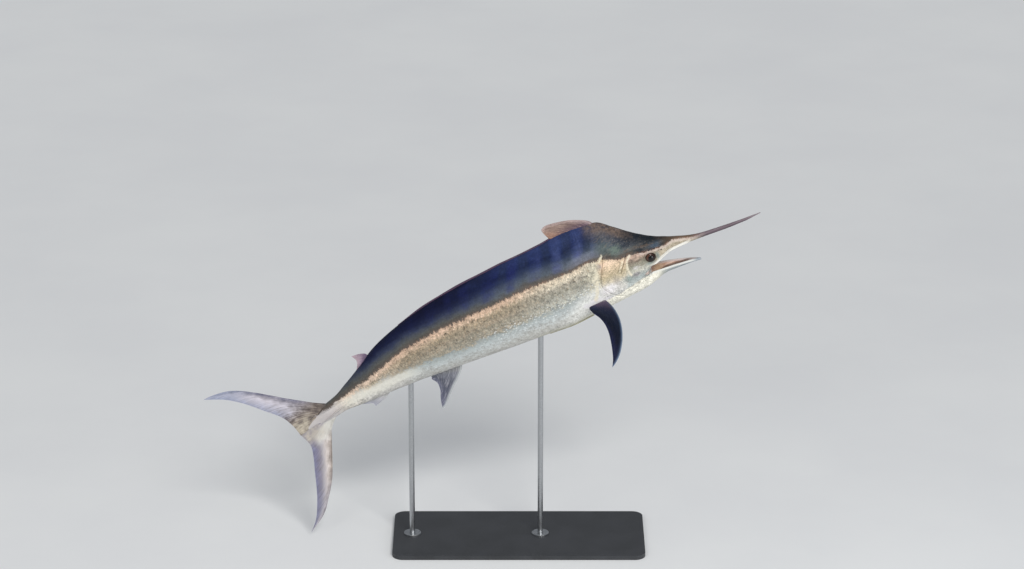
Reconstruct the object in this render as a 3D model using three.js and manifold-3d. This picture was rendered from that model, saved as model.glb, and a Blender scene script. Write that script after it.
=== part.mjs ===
// Black marlin, life size, rising nose up on a plain display stand.
// Millimetres, +Z up, the bill towards +X, the underside of the base on Z = 0.
//
// The fish is laid out straight first: s runs forward from the tail base, h up from
// the middle of the tail base, w to the fish's left. The spine then bends it.

import * as THREE from "three";
import { mergeVertices } from "three/addons/utils/BufferGeometryUtils.js";
import Module from "manifold-3d";

const wasm = await Module();
wasm.setup();

// Where pieces meet
const GAP = 0.3;

// The spine: where the tail base stands, how steeply the fish climbs, how much its rear hangs
const TAIL_BASE_X = -1054;
const TAIL_BASE_Z = 753;
const CLIMB_DEG = 21;
const TAIL_HANG_DEG = 18.8;
const HANG_POWER = 1.6;
const HANG_FROM = 1700;
const SPINE_STEP = 10;
const SPINE_REAR = -800;
const SPINE_FRONT = 2800;

// Where the body is parted
const PEDUNCLE_REAR = -76;
const PEDUNCLE_FRONT = 150;
const REAR_FRONT = 560;
const MIDDLE_FRONT = 1150;
const HEAD_REAR = 1742;
const BILL_REAR = 2262;
const BILL_TIP = 2646;

// Head features
const EYE_AT = [2010, 33];
const EYE_RADIUS = 35;
const EYE_DEPTH = 21;
const EYE_MIDDLE = 55;
const EYE_FORWARD_DEG = 13;
const LID_RADIUS = 31;
const LID_THICK = 4.5;
const LID_MIDDLE = 63;
const NOSTRILS = [[2074, 41, 48], [2063, 44, 51]];
const NOSTRIL_SIZE = [4.6, 4, 3.4];
const LIP_THICK = 4;
const PALATE_RISE = 11;
const COVER_DEPTH = 10;
const COVER_PROUD = 2.5;

// Pectoral fins: the middle of the root, the way the fin reaches and its droop
const PECTORAL_AT = [1643, -116, 112];
const PECTORAL_FORWARD = 0.2;
const PECTORAL_DROOP_DEG = 29;

// Stand
const BASE_LENGTH = 1400;
const BASE_WIDTH = 620;
const BASE_THICK = 24;
const BASE_CORNER = 60;
const ROD_RADIUS = 15;
const ROD_FRONT_X = 120;
const ROD_REAR_X = -595;
const FLANGE_RADIUS = 48;
const FLANGE_THICK = 8;

const radians = THREE.MathUtils.degToRad;

// A smooth line through a few stations, with no overshoot between them.
function through(points) {
  const step = (i) => (points[i + 1][1] - points[i][1]) / (points[i + 1][0] - points[i][0]);
  const last = points.length - 1;
  const slopes = points.map((_, i) => {
    if (i === 0) return step(0);
    if (i === last) return step(last - 1);
    const before = step(i - 1);
    const after = step(i);
    return before * after <= 0 ? 0 : (2 * before * after) / (before + after);
  });
  return (s) => {
    const x = Math.min(Math.max(s, points[0][0]), points[last][0]);
    let i = 0;
    while (i < last - 1 && x > points[i + 1][0]) i += 1;
    const width = points[i + 1][0] - points[i][0];
    const t = (x - points[i][0]) / width;
    const rise = points[i + 1][1] - points[i][1];
    const smooth = t * t * (3 - 2 * t);
    const ease = t * (1 - t) * width;
    return points[i][1] + rise * smooth + ease * (slopes[i] * (1 - t) - slopes[i + 1] * t);
  };
}

// The outline of head, trunk and bill, seen from the side and from above.
const back = through([
  [PEDUNCLE_REAR, 24], [-40, 40], [0, 48], [80, 51], [180, 74], [300, 112], [420, 160], [620, 204], [900, 241],
  [1200, 264], [1450, 284], [1600, 308], [1720, 309], [1790, 298], [1860, 248], [1950, 176],
  [2050, 115], [2150, 76], [2250, 47], [2300, 39], [2420, 34], [2540, 32], [BILL_TIP, 33.5],
]);
const belly = through([
  [PEDUNCLE_REAR, -26], [-40, -39], [0, -46], [80, -52], [180, -76], [300, -99], [420, -118], [620, -149], [900, -182],
  [1200, -203], [1450, -209], [1600, -192], [1720, -178], [1816, -166], [1878, -157],
  [1940, -143], [1958, -128], [1976, -58], [1990, -43], [2050, -18], [2086, -3], [2120, 7], [2240, 13],
  [2300, 13], [2420, 12], [2540, 16], [BILL_TIP, 30],
]);
const halfWidth = through([
  [PEDUNCLE_REAR, 6.5], [-40, 13], [0, 20], [80, 24], [180, 38], [300, 57], [420, 73], [620, 97], [900, 121],
  [1200, 135], [1450, 138], [1600, 135], [1720, 127], [1790, 116], [1860, 103], [1940, 86],
  [1990, 73], [2050, 57], [2150, 34], [2250, 19], [2300, 15], [2420, 11.5], [2540, 8.5],
  [BILL_TIP, 2],
]);
const widestLevel = through([
  [PEDUNCLE_REAR, 0.5], [600, 0.46], [1600, 0.42], [1940, 0.4], [1958, 0.38], [1976, 0.25], [2050, 0.2], [2200, 0.28],
  [2300, 0.45], [2420, 0.5],
]);
const crestSharpness = through([
  [0, 1], [400, 1.15], [1500, 1.3], [1750, 1.3], [1900, 1.05], [2300, 1],
]);
const undersideSharpness = through([[0, 1], [1500, 1.05], [1900, 1], [1990, 0.7], [2200, 0.8], [2300, 1]]);

// Lower jaw
const JAW_TIP = 2256;
const jawUnder = through([
  [1816, -167.5], [1878, -158.5], [1944, -142], [2010, -118], [2044, -104], [2076, -100],
  [2192, -101], [JAW_TIP, -107],
]);
const jawHalf = through([
  [1790, 117], [1860, 104], [1940, 86], [1992, 71], [2038, 60], [2094, 46], [2148, 33],
  [2204, 20], [JAW_TIP, 5],
]);
const jawLevel = through([
  [1790, 20], [1860, 5], [1940, -12], [1992, -48], [2094, -60], [2148, -70], [2204, -82],
  [JAW_TIP, -101],
]);
const JAW_RIM = [
  [1956, -67], [1984, -49], [2038, -47], [2094, -55], [2148, -66], [2204, -77], [2270, -99],
];
const JAW_REAR = [[1872, -230], [1856, -178], [1852, -138], [1870, -104], [1908, -80], [1956, -67]];

// Points on the spine and the fish's pitch there
const pitchAt = (s) => {
  const reach = Math.max(0, (HANG_FROM - Math.max(s, 0)) / HANG_FROM);
  return radians(CLIMB_DEG + TAIL_HANG_DEG * reach ** HANG_POWER);
};
const spine = new Map();
spine.set(0, [TAIL_BASE_X, TAIL_BASE_Z]);
for (let s = SPINE_STEP; s <= SPINE_FRONT; s += SPINE_STEP) {
  const [x, z] = spine.get(s - SPINE_STEP);
  const pitch = pitchAt(s - SPINE_STEP / 2);
  spine.set(s, [x + SPINE_STEP * Math.cos(pitch), z + SPINE_STEP * Math.sin(pitch)]);
}
for (let s = -SPINE_STEP; s >= SPINE_REAR; s -= SPINE_STEP) {
  const [x, z] = spine.get(s + SPINE_STEP);
  const pitch = pitchAt(0);
  spine.set(s, [x - SPINE_STEP * Math.cos(pitch), z - SPINE_STEP * Math.sin(pitch)]);
}

// Carries a point of the straight fish to its place on the bent one.
function bent([s, h, w]) {
  const low = Math.floor(s / SPINE_STEP) * SPINE_STEP;
  const [x0, z0] = spine.get(low);
  const [x1, z1] = spine.get(low + SPINE_STEP);
  const part = (s - low) / SPINE_STEP;
  const pitch = pitchAt(s);
  return [
    x0 + (x1 - x0) * part - h * Math.sin(pitch),
    w,
    z0 + (z1 - z0) * part + h * Math.cos(pitch),
  ];
}

// A closed solid from its corners and triangles, faces turned outwards.
function closedSolid(corners, triangles) {
  const build = (faces) =>
    new wasm.Manifold(
      new wasm.Mesh({
        numProp: 3,
        vertProperties: Float32Array.from(corners.flat()),
        triVerts: Uint32Array.from(faces.flat()),
      }),
    );
  const made = build(triangles);
  return made.volume() > 0 ? made : build(triangles.map(([a, b, c]) => [a, c, b]));
}

// A three.js geometry as a closed solid.
function solidOf(geometry) {
  const bare = geometry.clone();
  bare.deleteAttribute("normal");
  bare.deleteAttribute("uv");
  const merged = mergeVertices(bare, 1e-3);
  const at = merged.attributes.position;
  const corners = Array.from({ length: at.count }, (_, i) => [at.getX(i), at.getY(i), at.getZ(i)]);
  const index = merged.index.array;
  const triangles = [];
  for (let i = 0; i < index.length; i += 3) {
    triangles.push([index[i], index[i + 1], index[i + 2]]);
  }
  return closedSolid(corners, triangles);
}

const largest = (solid) =>
  solid.decompose().reduce((best, piece) => (piece.volume() > best.volume() ? piece : best));

// Bends a solid of the straight fish along the spine.
const onSpine = (solid) =>
  solid.warp((point) => {
    const [x, y, z] = bent([point[0], point[2], point[1]]);
    point[0] = x;
    point[1] = y;
    point[2] = z;
  });

// A skin stretched over rings of points, closed at both ends. Each ring lies across s.
function loft(rings) {
  const count = rings[0].length;
  const corners = rings.flat();
  const triangles = [];
  for (let i = 0; i < rings.length - 1; i += 1) {
    for (let j = 0; j < count; j += 1) {
      const a = i * count + j;
      const b = i * count + ((j + 1) % count);
      triangles.push([a, a + count, b]);
      triangles.push([b, a + count, b + count]);
    }
  }
  const middle = (ring) =>
    [0, 1, 2].map((k) => ring.reduce((sum, point) => sum + point[k], 0) / ring.length);
  const rear = corners.push(middle(rings[0])) - 1;
  const front = corners.push(middle(rings[rings.length - 1])) - 1;
  const start = (rings.length - 1) * count;
  for (let j = 0; j < count; j += 1) {
    const next = (j + 1) % count;
    triangles.push([rear, j, next]);
    triangles.push([front, start + next, start + j]);
  }
  return closedSolid(corners, triangles);
}

// One ring: an upper and a lower half that share the widest level.
function ring(s, { top, bottom, half, level, crest, under }, count) {
  return Array.from({ length: count }, (_, j) => {
    const turn = (2 * Math.PI * j) / count;
    const up = Math.cos(turn);
    const out = Math.sin(turn);
    const power = up > 0 ? crest : under;
    const h = level + (up > 0 ? top - level : level - bottom) * up;
    return [s, Math.sign(out) * half * Math.abs(out) ** power, h];
  });
}

// Evenly spaced stations from one end to the other, both included.
const stations = (from, to, step) => {
  const count = Math.ceil((to - from) / step);
  return Array.from({ length: count + 1 }, (_, i) => from + ((to - from) * i) / count);
};
const BODY_STATIONS = [
  ...stations(PEDUNCLE_REAR, PEDUNCLE_FRONT, 40),
  ...stations(PEDUNCLE_FRONT, REAR_FRONT, 48).slice(1),
  ...stations(REAR_FRONT, MIDDLE_FRONT, 66).slice(1),
  ...stations(MIDDLE_FRONT, 1700, 62).slice(1),
  ...stations(1700, 1940, 27).slice(1),
  ...stations(1940, 2000, 10).slice(1),
  ...stations(2000, BILL_REAR, 27).slice(1),
  ...stations(BILL_REAR, BILL_TIP, 48).slice(1),
];
const BODY_RING = 26;

// Flesh between two stations, grown outwards or, when negative, shrunk.
function flesh(from, to, grow = 0) {
  const between = BODY_STATIONS.filter((s) => s > from + 1 && s < to - 1);
  return loft(
    [from, ...between, to].map((s) => {
      const low = belly(s) - grow;
      const high = back(s) + grow;
      return ring(
        s,
        {
          top: high,
          bottom: low,
          half: Math.max(halfWidth(s) + grow, 0.6),
          level: belly(s) + widestLevel(s) * (back(s) - belly(s)),
          crest: crestSharpness(s),
          under: undersideSharpness(s),
        },
        BODY_RING,
      );
    }),
  );
}

// A block with the given side view, reaching across the fish from one w to another.
function sideBlock(points, from = -300, to = 300) {
  const shape = new THREE.Shape(points.map(([s, h]) => new THREE.Vector2(s, h)));
  const block = new THREE.ExtrudeGeometry(shape, { depth: to - from, bevelEnabled: false });
  block.translate(0, 0, from);
  block.applyMatrix4(new THREE.Matrix4().set(1, 0, 0, 0, 0, 0, 1, 0, 0, 1, 0, 0, 0, 0, 0, 1));
  return solidOf(block);
}

// A closed side view moved outwards by a small amount.
function widened(points, amount) {
  const middle = points.reduce(([a, b], [s, h]) => [a + s / points.length, b + h / points.length], [0, 0]);
  return points.map(([s, h]) => {
    const away = Math.hypot(s - middle[0], h - middle[1]);
    const scale = (away + amount) / away;
    return [middle[0] + (s - middle[0]) * scale, middle[1] + (h - middle[1]) * scale];
  });
}

// A round closed outline through a few points.
function rounded(points, count) {
  const line = new THREE.CatmullRomCurve3(
    points.map(([s, h]) => new THREE.Vector3(s, h, 0)),
    true,
  );
  return line.getSpacedPoints(count).slice(0, count).map((p) => [p.x, p.y]);
}

// An open line through a few points, read by its share of the length.
function line(points) {
  const path = new THREE.CatmullRomCurve3(points.map(([x, y]) => new THREE.Vector3(x, y, 0)));
  return (share) => {
    const p = path.getPointAt(share);
    return [p.x, p.y];
  };
}

// A fin: rays from the root to the free edge, between the leading edge and the last ray.
// place() sets a point of the fin's own plane, raised by a thickness, into the fish.
function fin({ root, lead, last, free, rays, rows, thick, ridge, place, grow = 0 }) {
  const edges = { root: line(root), lead: line(lead), last: line(last), free: line(free) };
  const columns = 2 * rays;
  const corners = [];
  const at = (i, j, side) => (side * (columns + 1) + i) * (rows + 1) + j;
  for (const side of [-1, 1]) {
    for (let i = 0; i <= columns; i += 1) {
      for (let j = 0; j <= rows; j += 1) {
        const u = i / columns;
        const v = j / rows;
        const [x, y] = [0, 1].map(
          (k) =>
            (1 - u) * edges.lead(v)[k] +
            u * edges.last(v)[k] +
            (1 - v) * edges.root(u)[k] +
            v * edges.free(u)[k] -
            (1 - u) * (1 - v) * edges.root(0)[k] -
            u * (1 - v) * edges.root(1)[k] -
            (1 - u) * v * edges.free(0)[k] -
            u * v * edges.free(1)[k],
        );
        const raised = i % 2 === 1 ? ridge * (1 - 0.6 * v) : 0;
        corners.push(place(x, y, side * (thick(u, v) + raised + grow)));
      }
    }
  }
  const triangles = [];
  const strip = (a, b) => {
    triangles.push([at(...a, 0), at(...b, 0), at(...a, 1)]);
    triangles.push([at(...b, 0), at(...b, 1), at(...a, 1)]);
  };
  for (let i = 0; i < columns; i += 1) {
    for (let j = 0; j < rows; j += 1) {
      triangles.push([at(i, j, 0), at(i, j + 1, 0), at(i + 1, j, 0)]);
      triangles.push([at(i + 1, j, 0), at(i, j + 1, 0), at(i + 1, j + 1, 0)]);
      triangles.push([at(i, j, 1), at(i + 1, j, 1), at(i, j + 1, 1)]);
      triangles.push([at(i + 1, j, 1), at(i + 1, j + 1, 1), at(i, j + 1, 1)]);
    }
    strip([i, 0], [i + 1, 0]);
    strip([i + 1, rows], [i, rows]);
  }
  for (let j = 0; j < rows; j += 1) {
    strip([0, j + 1], [0, j]);
    strip([columns, j], [columns, j + 1]);
  }
  return closedSolid(corners, triangles);
}

const onMiddle = (s, h, w) => [s, w, h];

// Sets a shape made round the Y axis into the side of the head, turned a little forwards.
function atEye(shape, side, middle) {
  shape.rotateZ(-side * radians(EYE_FORWARD_DEG));
  shape.translate(EYE_AT[0], side * middle, EYE_AT[1]);
  return solidOf(shape);
}

// An eye, or the hollow it sits in.
function eyeball(side, grow) {
  const ball = new THREE.SphereGeometry(1, 20, 10);
  ball.rotateX(Math.PI / 2);
  ball.scale(EYE_RADIUS + grow, EYE_DEPTH + grow, EYE_RADIUS + grow);
  return atEye(ball, side, EYE_MIDDLE);
}

// The lid: a low fold of skin all round the eye.
function lid(side) {
  const fold = new THREE.TorusGeometry(LID_RADIUS, LID_THICK, 6, 20);
  fold.rotateX(Math.PI / 2);
  return atEye(fold, side, LID_MIDDLE);
}

// A nostril: a small round pit.
function nostril(side, [s, h, w]) {
  const pit = new THREE.SphereGeometry(1, 8, 5);
  pit.scale(NOSTRIL_SIZE[0], NOSTRIL_SIZE[2], NOSTRIL_SIZE[1]);
  pit.translate(s, side * w, h);
  return solidOf(pit);
}

// A round fold of skin that follows a line along the head.
const skinFold = (at, middle, thick) =>
  loft(
    at.map((s, i) => {
      const size = thick * (i === 0 || i === at.length - 1 ? 0.3 : 1);
      const [w, h] = middle(s);
      return ring(s, { top: size, bottom: -size, half: size, level: 0, crest: 1, under: 1 }, 6).map(
        ([x, y, z]) => [x, y + w, z + h],
      );
    }),
  );

// Gill covers
const COVER_SIDE = rounded(
  [
    [1888, 88], [1838, 22], [1836, -50], [1800, -112], [1742, -148], [1722, -118], [1710, -58],
    [1701, -8], [1708, 40], [1730, 84], [1762, 132], [1826, 138],
  ],
  34,
);
const coverSpan = (side, inner) => (side < 0 ? [-300, -inner] : [inner, 300]);
const gillCover = (side) =>
  largest(
    flesh(1600, 2000, COVER_PROUD)
      .intersect(sideBlock(COVER_SIDE, ...coverSpan(side, 12)))
      .subtract(flesh(1600, 2000, -COVER_DEPTH)),
  );
const gillRecess = (side) =>
  sideBlock(widened(COVER_SIDE, GAP), ...coverSpan(side, 12 - GAP)).subtract(
    flesh(1600, 2000, -COVER_DEPTH - GAP),
  );
const recesses = gillRecess(-1).add(gillRecess(1));

// Head and trunk are parted along the rear of the gills and up to the front of the first dorsal
const HEAD_LINE = [[1812, 420], [1776, 140], [HEAD_REAR, 60], [HEAD_REAR, -300]];
const headBlock = sideBlock([...HEAD_LINE.map(([s, h]) => [s + GAP / 2, h]), [3000, -300], [3000, 420]]);
const trunkBlock = sideBlock([...HEAD_LINE.map(([s, h]) => [s - GAP / 2, h]), [0, -300], [0, 420]]);

// Lower jaw: an under-jaw shell cut to its side view, with a trough for the floor of the mouth
const jawRear = line(JAW_REAR);
const JAW_SIDE = [...JAW_RIM, [2270, -230], ...[0, 1, 2, 3, 4, 5, 6, 7, 8].map((i) => jawRear(i / 9))];
function jawShell(shrink) {
  return loft(
    stations(1800, JAW_TIP, 30).map((s) =>
      ring(
        s,
        {
          top: jawLevel(s) + 60,
          bottom: jawUnder(s) + shrink,
          half: Math.max(jawHalf(s) - shrink, 1.2),
          level: jawLevel(s),
          crest: 1,
          under: 0.85,
        },
        BODY_RING,
      ),
    ),
  );
}
const JAW_WALL = 9;
const JAW_FLOOR = 16;
const trough = loft(
  stations(1985, JAW_TIP - 26, 30).map((s) =>
    ring(
      s,
      {
        top: 40,
        bottom: Math.min(jawUnder(s) + JAW_FLOOR, jawLevel(s) - 6),
        half: Math.max(jawHalf(s) - JAW_WALL, 3),
        level: jawLevel(s) + 4,
        crest: 0.2,
        under: 0.7,
      },
      16,
    ),
  ),
);
const jawRim = through(JAW_RIM);
const lowerLip = (side) =>
  skinFold(
    stations(2002, 2238, 30),
    (s) => [side * (jawHalf(s) - 3), jawRim(s) - 2.6],
    LIP_THICK - 0.6,
  );
const jaw = largest(
  jawShell(0)
    .intersect(sideBlock(JAW_SIDE))
    .subtract(trough)
    .add(lowerLip(-1))
    .add(lowerLip(1)),
);

// Upper lips and palate
const upperLip = (side) =>
  skinFold(
    stations(2006, 2236, 28),
    (s) => [side * (halfWidth(s) - 2.6), belly(s) + 6],
    LIP_THICK,
  );
const palate = loft(
  stations(1996, 2226, 30).map((s) =>
    ring(
      s,
      {
        top: belly(s) + PALATE_RISE,
        bottom: belly(s) - 60,
        half: Math.max(halfWidth(s) - 12, 4),
        level: belly(s) - 2,
        crest: 0.8,
        under: 0.3,
      },
      14,
    ),
  ),
);

const head = largest(
  flesh(1650, BILL_REAR - GAP / 2)
    .intersect(headBlock)
    .subtract(sideBlock(widened(JAW_SIDE, GAP * 1.6)))
    .subtract(palate)
    .add(upperLip(-1))
    .add(upperLip(1))
    .add(lid(-1))
    .add(lid(1))
    .subtract(recesses)
    .subtract(eyeball(-1, GAP))
    .subtract(eyeball(1, GAP))
    .subtract(nostril(-1, NOSTRILS[0]))
    .subtract(nostril(-1, NOSTRILS[1]))
    .subtract(nostril(1, NOSTRILS[0]))
    .subtract(nostril(1, NOSTRILS[1])),
);
const bill = flesh(BILL_REAR + GAP / 2, BILL_TIP);
const trunkFront = largest(
  flesh(MIDDLE_FRONT + GAP / 2, 1860).intersect(trunkBlock).subtract(recesses),
);
const trunkMiddle = flesh(REAR_FRONT + GAP / 2, MIDDLE_FRONT - GAP / 2);
const trunkRear = flesh(PEDUNCLE_FRONT + GAP / 2, REAR_FRONT - GAP / 2);
const peduncle = flesh(PEDUNCLE_REAR, PEDUNCLE_FRONT - GAP / 2);

// Everything that grows from the flesh keeps a thin gap to it
const bodyKeepOut = onSpine(flesh(PEDUNCLE_REAR - GAP, BILL_TIP, GAP));
const grownFrom = (solid) => largest(onSpine(solid).subtract(bodyKeepOut));

// Fins on the middle line
const firstDorsalLobe = fin({
  root: [[1774, 285], [1650, 292], [1530, 280]],
  lead: [[1774, 285], [1768, 311], [1680, 356], [1600, 374], [1528, 377], [1500, 362]],
  last: [[1530, 280], [1524, 300], [1516, 322]],
  free: [[1500, 362], [1506, 342], [1516, 322]],
  rays: 7,
  rows: 9,
  ridge: 0.9,
  thick: (u, v) => 0.7 + 4.5 * (1 - v) * (1 - 0.5 * u) + 1.6 * Math.min(u * 12, 1) * (1 - u),
  place: onMiddle,
});
const dorsalFold = loft(
  stations(600, 1522, 66).map((s) => {
    const near = THREE.MathUtils.smoothstep(s, 600, 760);
    const rise = 2 + 5.5 * near;
    return ring(
      s,
      { top: back(s) + rise, bottom: back(s) - 12, half: 3.2 + near, level: back(s) - 4, crest: 1, under: 1 },
      8,
    );
  }),
);
const secondDorsal = fin({
  root: [[374, 130], [330, 112], [282, 92]],
  lead: [[374, 130], [370, 152], [340, 172], [298, 185]],
  last: [[282, 92], [268, 92], [252, 86]],
  free: [[298, 185], [306, 146], [280, 108], [252, 86]],
  rays: 5,
  rows: 7,
  ridge: 0.6,
  thick: (u, v) => 0.5 + 3 * (1 - v) * (1 - 0.4 * u),
  place: onMiddle,
});
const firstAnal = fin({
  root: [[796, -158], [700, -148], [600, -136]],
  lead: [[796, -158], [786, -186], [738, -229], [672, -275], [620, -314], [586, -341], [552, -352]],
  last: [[600, -136], [604, -152], [598, -166]],
  free: [[552, -352], [578, -292], [606, -244], [614, -200], [598, -166]],
  rays: 8,
  rows: 9,
  ridge: 0.8,
  thick: (u, v) => 0.6 + 5 * (1 - v) * (1 - 0.5 * u) + 1.4 * Math.min(u * 12, 1) * (1 - u),
  place: onMiddle,
});
const secondAnal = fin({
  root: [[360, -92], [290, -84], [206, -66]],
  lead: [[360, -92], [352, -108], [300, -124], [236, -131]],
  last: [[206, -66], [186, -70], [166, -70]],
  free: [[236, -131], [234, -110], [206, -92], [166, -70]],
  rays: 5,
  rows: 7,
  ridge: 0.6,
  thick: (u, v) => 0.5 + 3 * (1 - v) * (1 - 0.4 * u),
  place: onMiddle,
});

// Tail fin: an upper and a lower lobe that meet on the middle line as far as the fork
const FORK = [-206, -8];
const lobeThickness = (u, v) => 0.7 + 8.5 * (1 - v) ** 1.5 + 2.6 * Math.exp(-8 * u) * (1 - v * 0.7);
const upperLobe = (grow) =>
  fin({
    root: [[22, 50], [20, 28], [20, -5 + GAP]],
    lead: [[22, 50], [-30, 101], [-66, 143], [-138, 228], [-208, 316], [-280, 399], [-344, 450], [-434, 487], [-482, 498]],
    last: [[20, -5 + GAP], [-90, -6 + GAP], [FORK[0], FORK[1] + GAP]],
    free: [[-482, 498], [-388, 420], [-326, 341], [-268, 240], [-214, 137], [-202, 60], [FORK[0], FORK[1] + GAP]],
    rays: 11,
    rows: 8,
    ridge: 1,
    thick: lobeThickness,
    place: onMiddle,
    grow,
  });
const lowerLobe = (grow) =>
  fin({
    root: [[22, -45], [20, -28], [20, -5]],
    lead: [[22, -45], [-44, -83], [-104, -147], [-160, -214], [-216, -280], [-276, -344], [-340, -395], [-416, -447], [-544, -487]],
    last: [[20, -5], [-90, -6], FORK],
    free: [[-544, -487], [-474, -444], [-392, -360], [-338, -290], [-286, -217], [-236, -147], [-206, -90], FORK],
    rays: 11,
    rows: 8,
    ridge: 1,
    thick: lobeThickness,
    place: onMiddle,
    grow,
  });

// Keels: two low blades on each side of the tail base, the upper and the lower spreading rearwards
const KEEL_FRONT = 140;
const KEEL_REAR = -104;
const KEEL_HEIGHT = 14;
const keelFoot = through([[KEEL_REAR, -3], [-60, 2], [0, 12], [60, 17], [KEEL_FRONT, 26]]);
function keel(side, frontH, rearH) {
  const share = (s) => (s - KEEL_REAR) / (KEEL_FRONT - KEEL_REAR);
  const crown = (s) => keelFoot(s) + 7 + KEEL_HEIGHT * Math.sin(Math.PI * share(s)) ** 0.8;
  const along = [1, 0.75, 0.5, 0.25, 0].map((part) => KEEL_REAR + part * (KEEL_FRONT - KEEL_REAR));
  return fin({
    root: along.map((s) => [s, keelFoot(s)]),
    lead: [[KEEL_FRONT, keelFoot(KEEL_FRONT)], [KEEL_FRONT, crown(KEEL_FRONT)]],
    last: [[KEEL_REAR, keelFoot(KEEL_REAR)], [KEEL_REAR, crown(KEEL_REAR)]],
    free: along.map((s) => [s, crown(s)]),
    rays: 4,
    rows: 2,
    ridge: 0,
    thick: (u, v) => 0.6 + 3.4 * (1 - v) * Math.sin(Math.PI * Math.min(Math.max(u, 0.1), 0.9)),
    place: (s, out, raised) => [s, side * out, rearH + (frontH - rearH) * share(s) + raised],
  });
}

const tailKeepOut = onSpine(upperLobe(GAP).add(lowerLobe(GAP)));
const keelNode = (side, frontH, rearH) => largest(grownFrom(keel(side, frontH, rearH)).subtract(tailKeepOut));

// Pectoral fins, stiff and held out
const pectoral = (side) => {
  const climb = radians(CLIMB_DEG);
  const droop = radians(PECTORAL_DROOP_DEG);
  const chord = new THREE.Vector3(Math.cos(climb), 0, Math.sin(climb));
  const reach = new THREE.Vector3(
    PECTORAL_FORWARD,
    side * Math.cos(droop) * Math.sqrt(1 - PECTORAL_FORWARD ** 2),
    -Math.sin(droop) * Math.sqrt(1 - PECTORAL_FORWARD ** 2),
  );
  const normal = new THREE.Vector3().crossVectors(chord, reach).normalize();
  const origin = new THREE.Vector3(...bent([PECTORAL_AT[0], PECTORAL_AT[1], side * PECTORAL_AT[2]]));
  return fin({
    root: [[-30, 44], [-26, 0], [-16, -46]],
    lead: [[-30, 44], [0, 58], [64, 81], [153, 96], [259, 85], [357, 56], [428, 1]],
    last: [[-16, -46], [10, -44], [40, -28]],
    free: [[428, 1], [294, 2], [147, 2], [80, -8], [40, -28]],
    rays: 8,
    rows: 9,
    ridge: 0.8,
    thick: (u, v) => 0.6 + 5.5 * (1 - v) * (1 - 0.5 * u) + 1.8 * Math.min(u * 12, 1) * (1 - u),
    place: (along, across, raised) =>
      origin
        .clone()
        .addScaledVector(reach, along)
        .addScaledVector(chord, across)
        .addScaledVector(normal, raised)
        .toArray(),
  });
};

// Pelvic fins: narrow straps folded along the belly
const pelvic = (side) =>
  loft(
    stations(1330, 1600, 45).map((s) => {
      const share = (s - 1330) / 270;
      const half = 2 + 6 * share ** 0.7;
      const middle = side * (24 - 8 * (1 - share));
      return ring(
        s,
        { top: 4, bottom: -3.5 - 1.5 * share, half, level: 0, crest: 1, under: 1 },
        10,
      ).map(([x, y, z]) => [x, y + middle, z + belly(s) + 2]);
    }),
  );

// Stand
function standBase() {
  const x = BASE_LENGTH / 2;
  const y = BASE_WIDTH / 2;
  const outline = new THREE.Shape();
  outline.moveTo(-x + BASE_CORNER, -y);
  outline.lineTo(x - BASE_CORNER, -y);
  outline.absarc(x - BASE_CORNER, -y + BASE_CORNER, BASE_CORNER, -Math.PI / 2, 0);
  outline.lineTo(x, y - BASE_CORNER);
  outline.absarc(x - BASE_CORNER, y - BASE_CORNER, BASE_CORNER, 0, Math.PI / 2);
  outline.lineTo(-x + BASE_CORNER, y);
  outline.absarc(-x + BASE_CORNER, y - BASE_CORNER, BASE_CORNER, Math.PI / 2, Math.PI);
  outline.lineTo(-x, -y + BASE_CORNER);
  outline.absarc(-x + BASE_CORNER, -y + BASE_CORNER, BASE_CORNER, Math.PI, 1.5 * Math.PI);
  return solidOf(
    new THREE.ExtrudeGeometry(outline, { depth: BASE_THICK, bevelEnabled: false, curveSegments: 8 }),
  );
}

// A rod with a round foot, cut off where it meets the belly.
function standRod(x) {
  const foot = BASE_THICK + GAP;
  const profile = [
    [0, foot], [FLANGE_RADIUS, foot], [FLANGE_RADIUS, foot + FLANGE_THICK - 2],
    [FLANGE_RADIUS - 2, foot + FLANGE_THICK], [ROD_RADIUS, foot + FLANGE_THICK],
    [ROD_RADIUS, 1500], [0, 1500],
  ].map(([r, z]) => new THREE.Vector2(r, z));
  const turned = new THREE.LatheGeometry(profile, 32);
  turned.rotateX(Math.PI / 2);
  turned.translate(x, 0, 0);
  return solidOf(turned)
    .subtract(bodyKeepOut)
    .decompose()
    .reduce((low, piece) => (piece.boundingBox().min[2] < low.boundingBox().min[2] ? piece : low));
}

// Colours
const paint = (color, roughness, metalness = 0) => ({ color, roughness, metalness });
const BACK_PAINT = paint(0x3c4652, 0.35);
const FLANK_PAINT = paint(0x8d9199, 0.32);
const HEAD_PAINT = paint(0x6d6459, 0.35);
const WHITE_PAINT = paint(0xd9dde0, 0.35);
const DORSAL_PAINT = paint(0x9a7468, 0.4);
const ANAL_PAINT = paint(0x8b8794, 0.4);
const TAIL_PAINT = paint(0x8f8ca0, 0.38);
const PECTORAL_PAINT = paint(0x232836, 0.4);
const BILL_PAINT = paint(0x8c7d78, 0.4);
const COVER_PAINT = paint(0xb99a80, 0.3);
const KEEL_PAINT = paint(0xc9ced8, 0.35);
const EYE_PAINT = paint(0x20160f, 0.08);
const BASE_PAINT = paint(0x2a2c2f, 0.5);
const ROD_PAINT = paint(0xb4b8bc, 0.28, 1);

const fish = new THREE.Group();
fish.name = "black_marlin";

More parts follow.
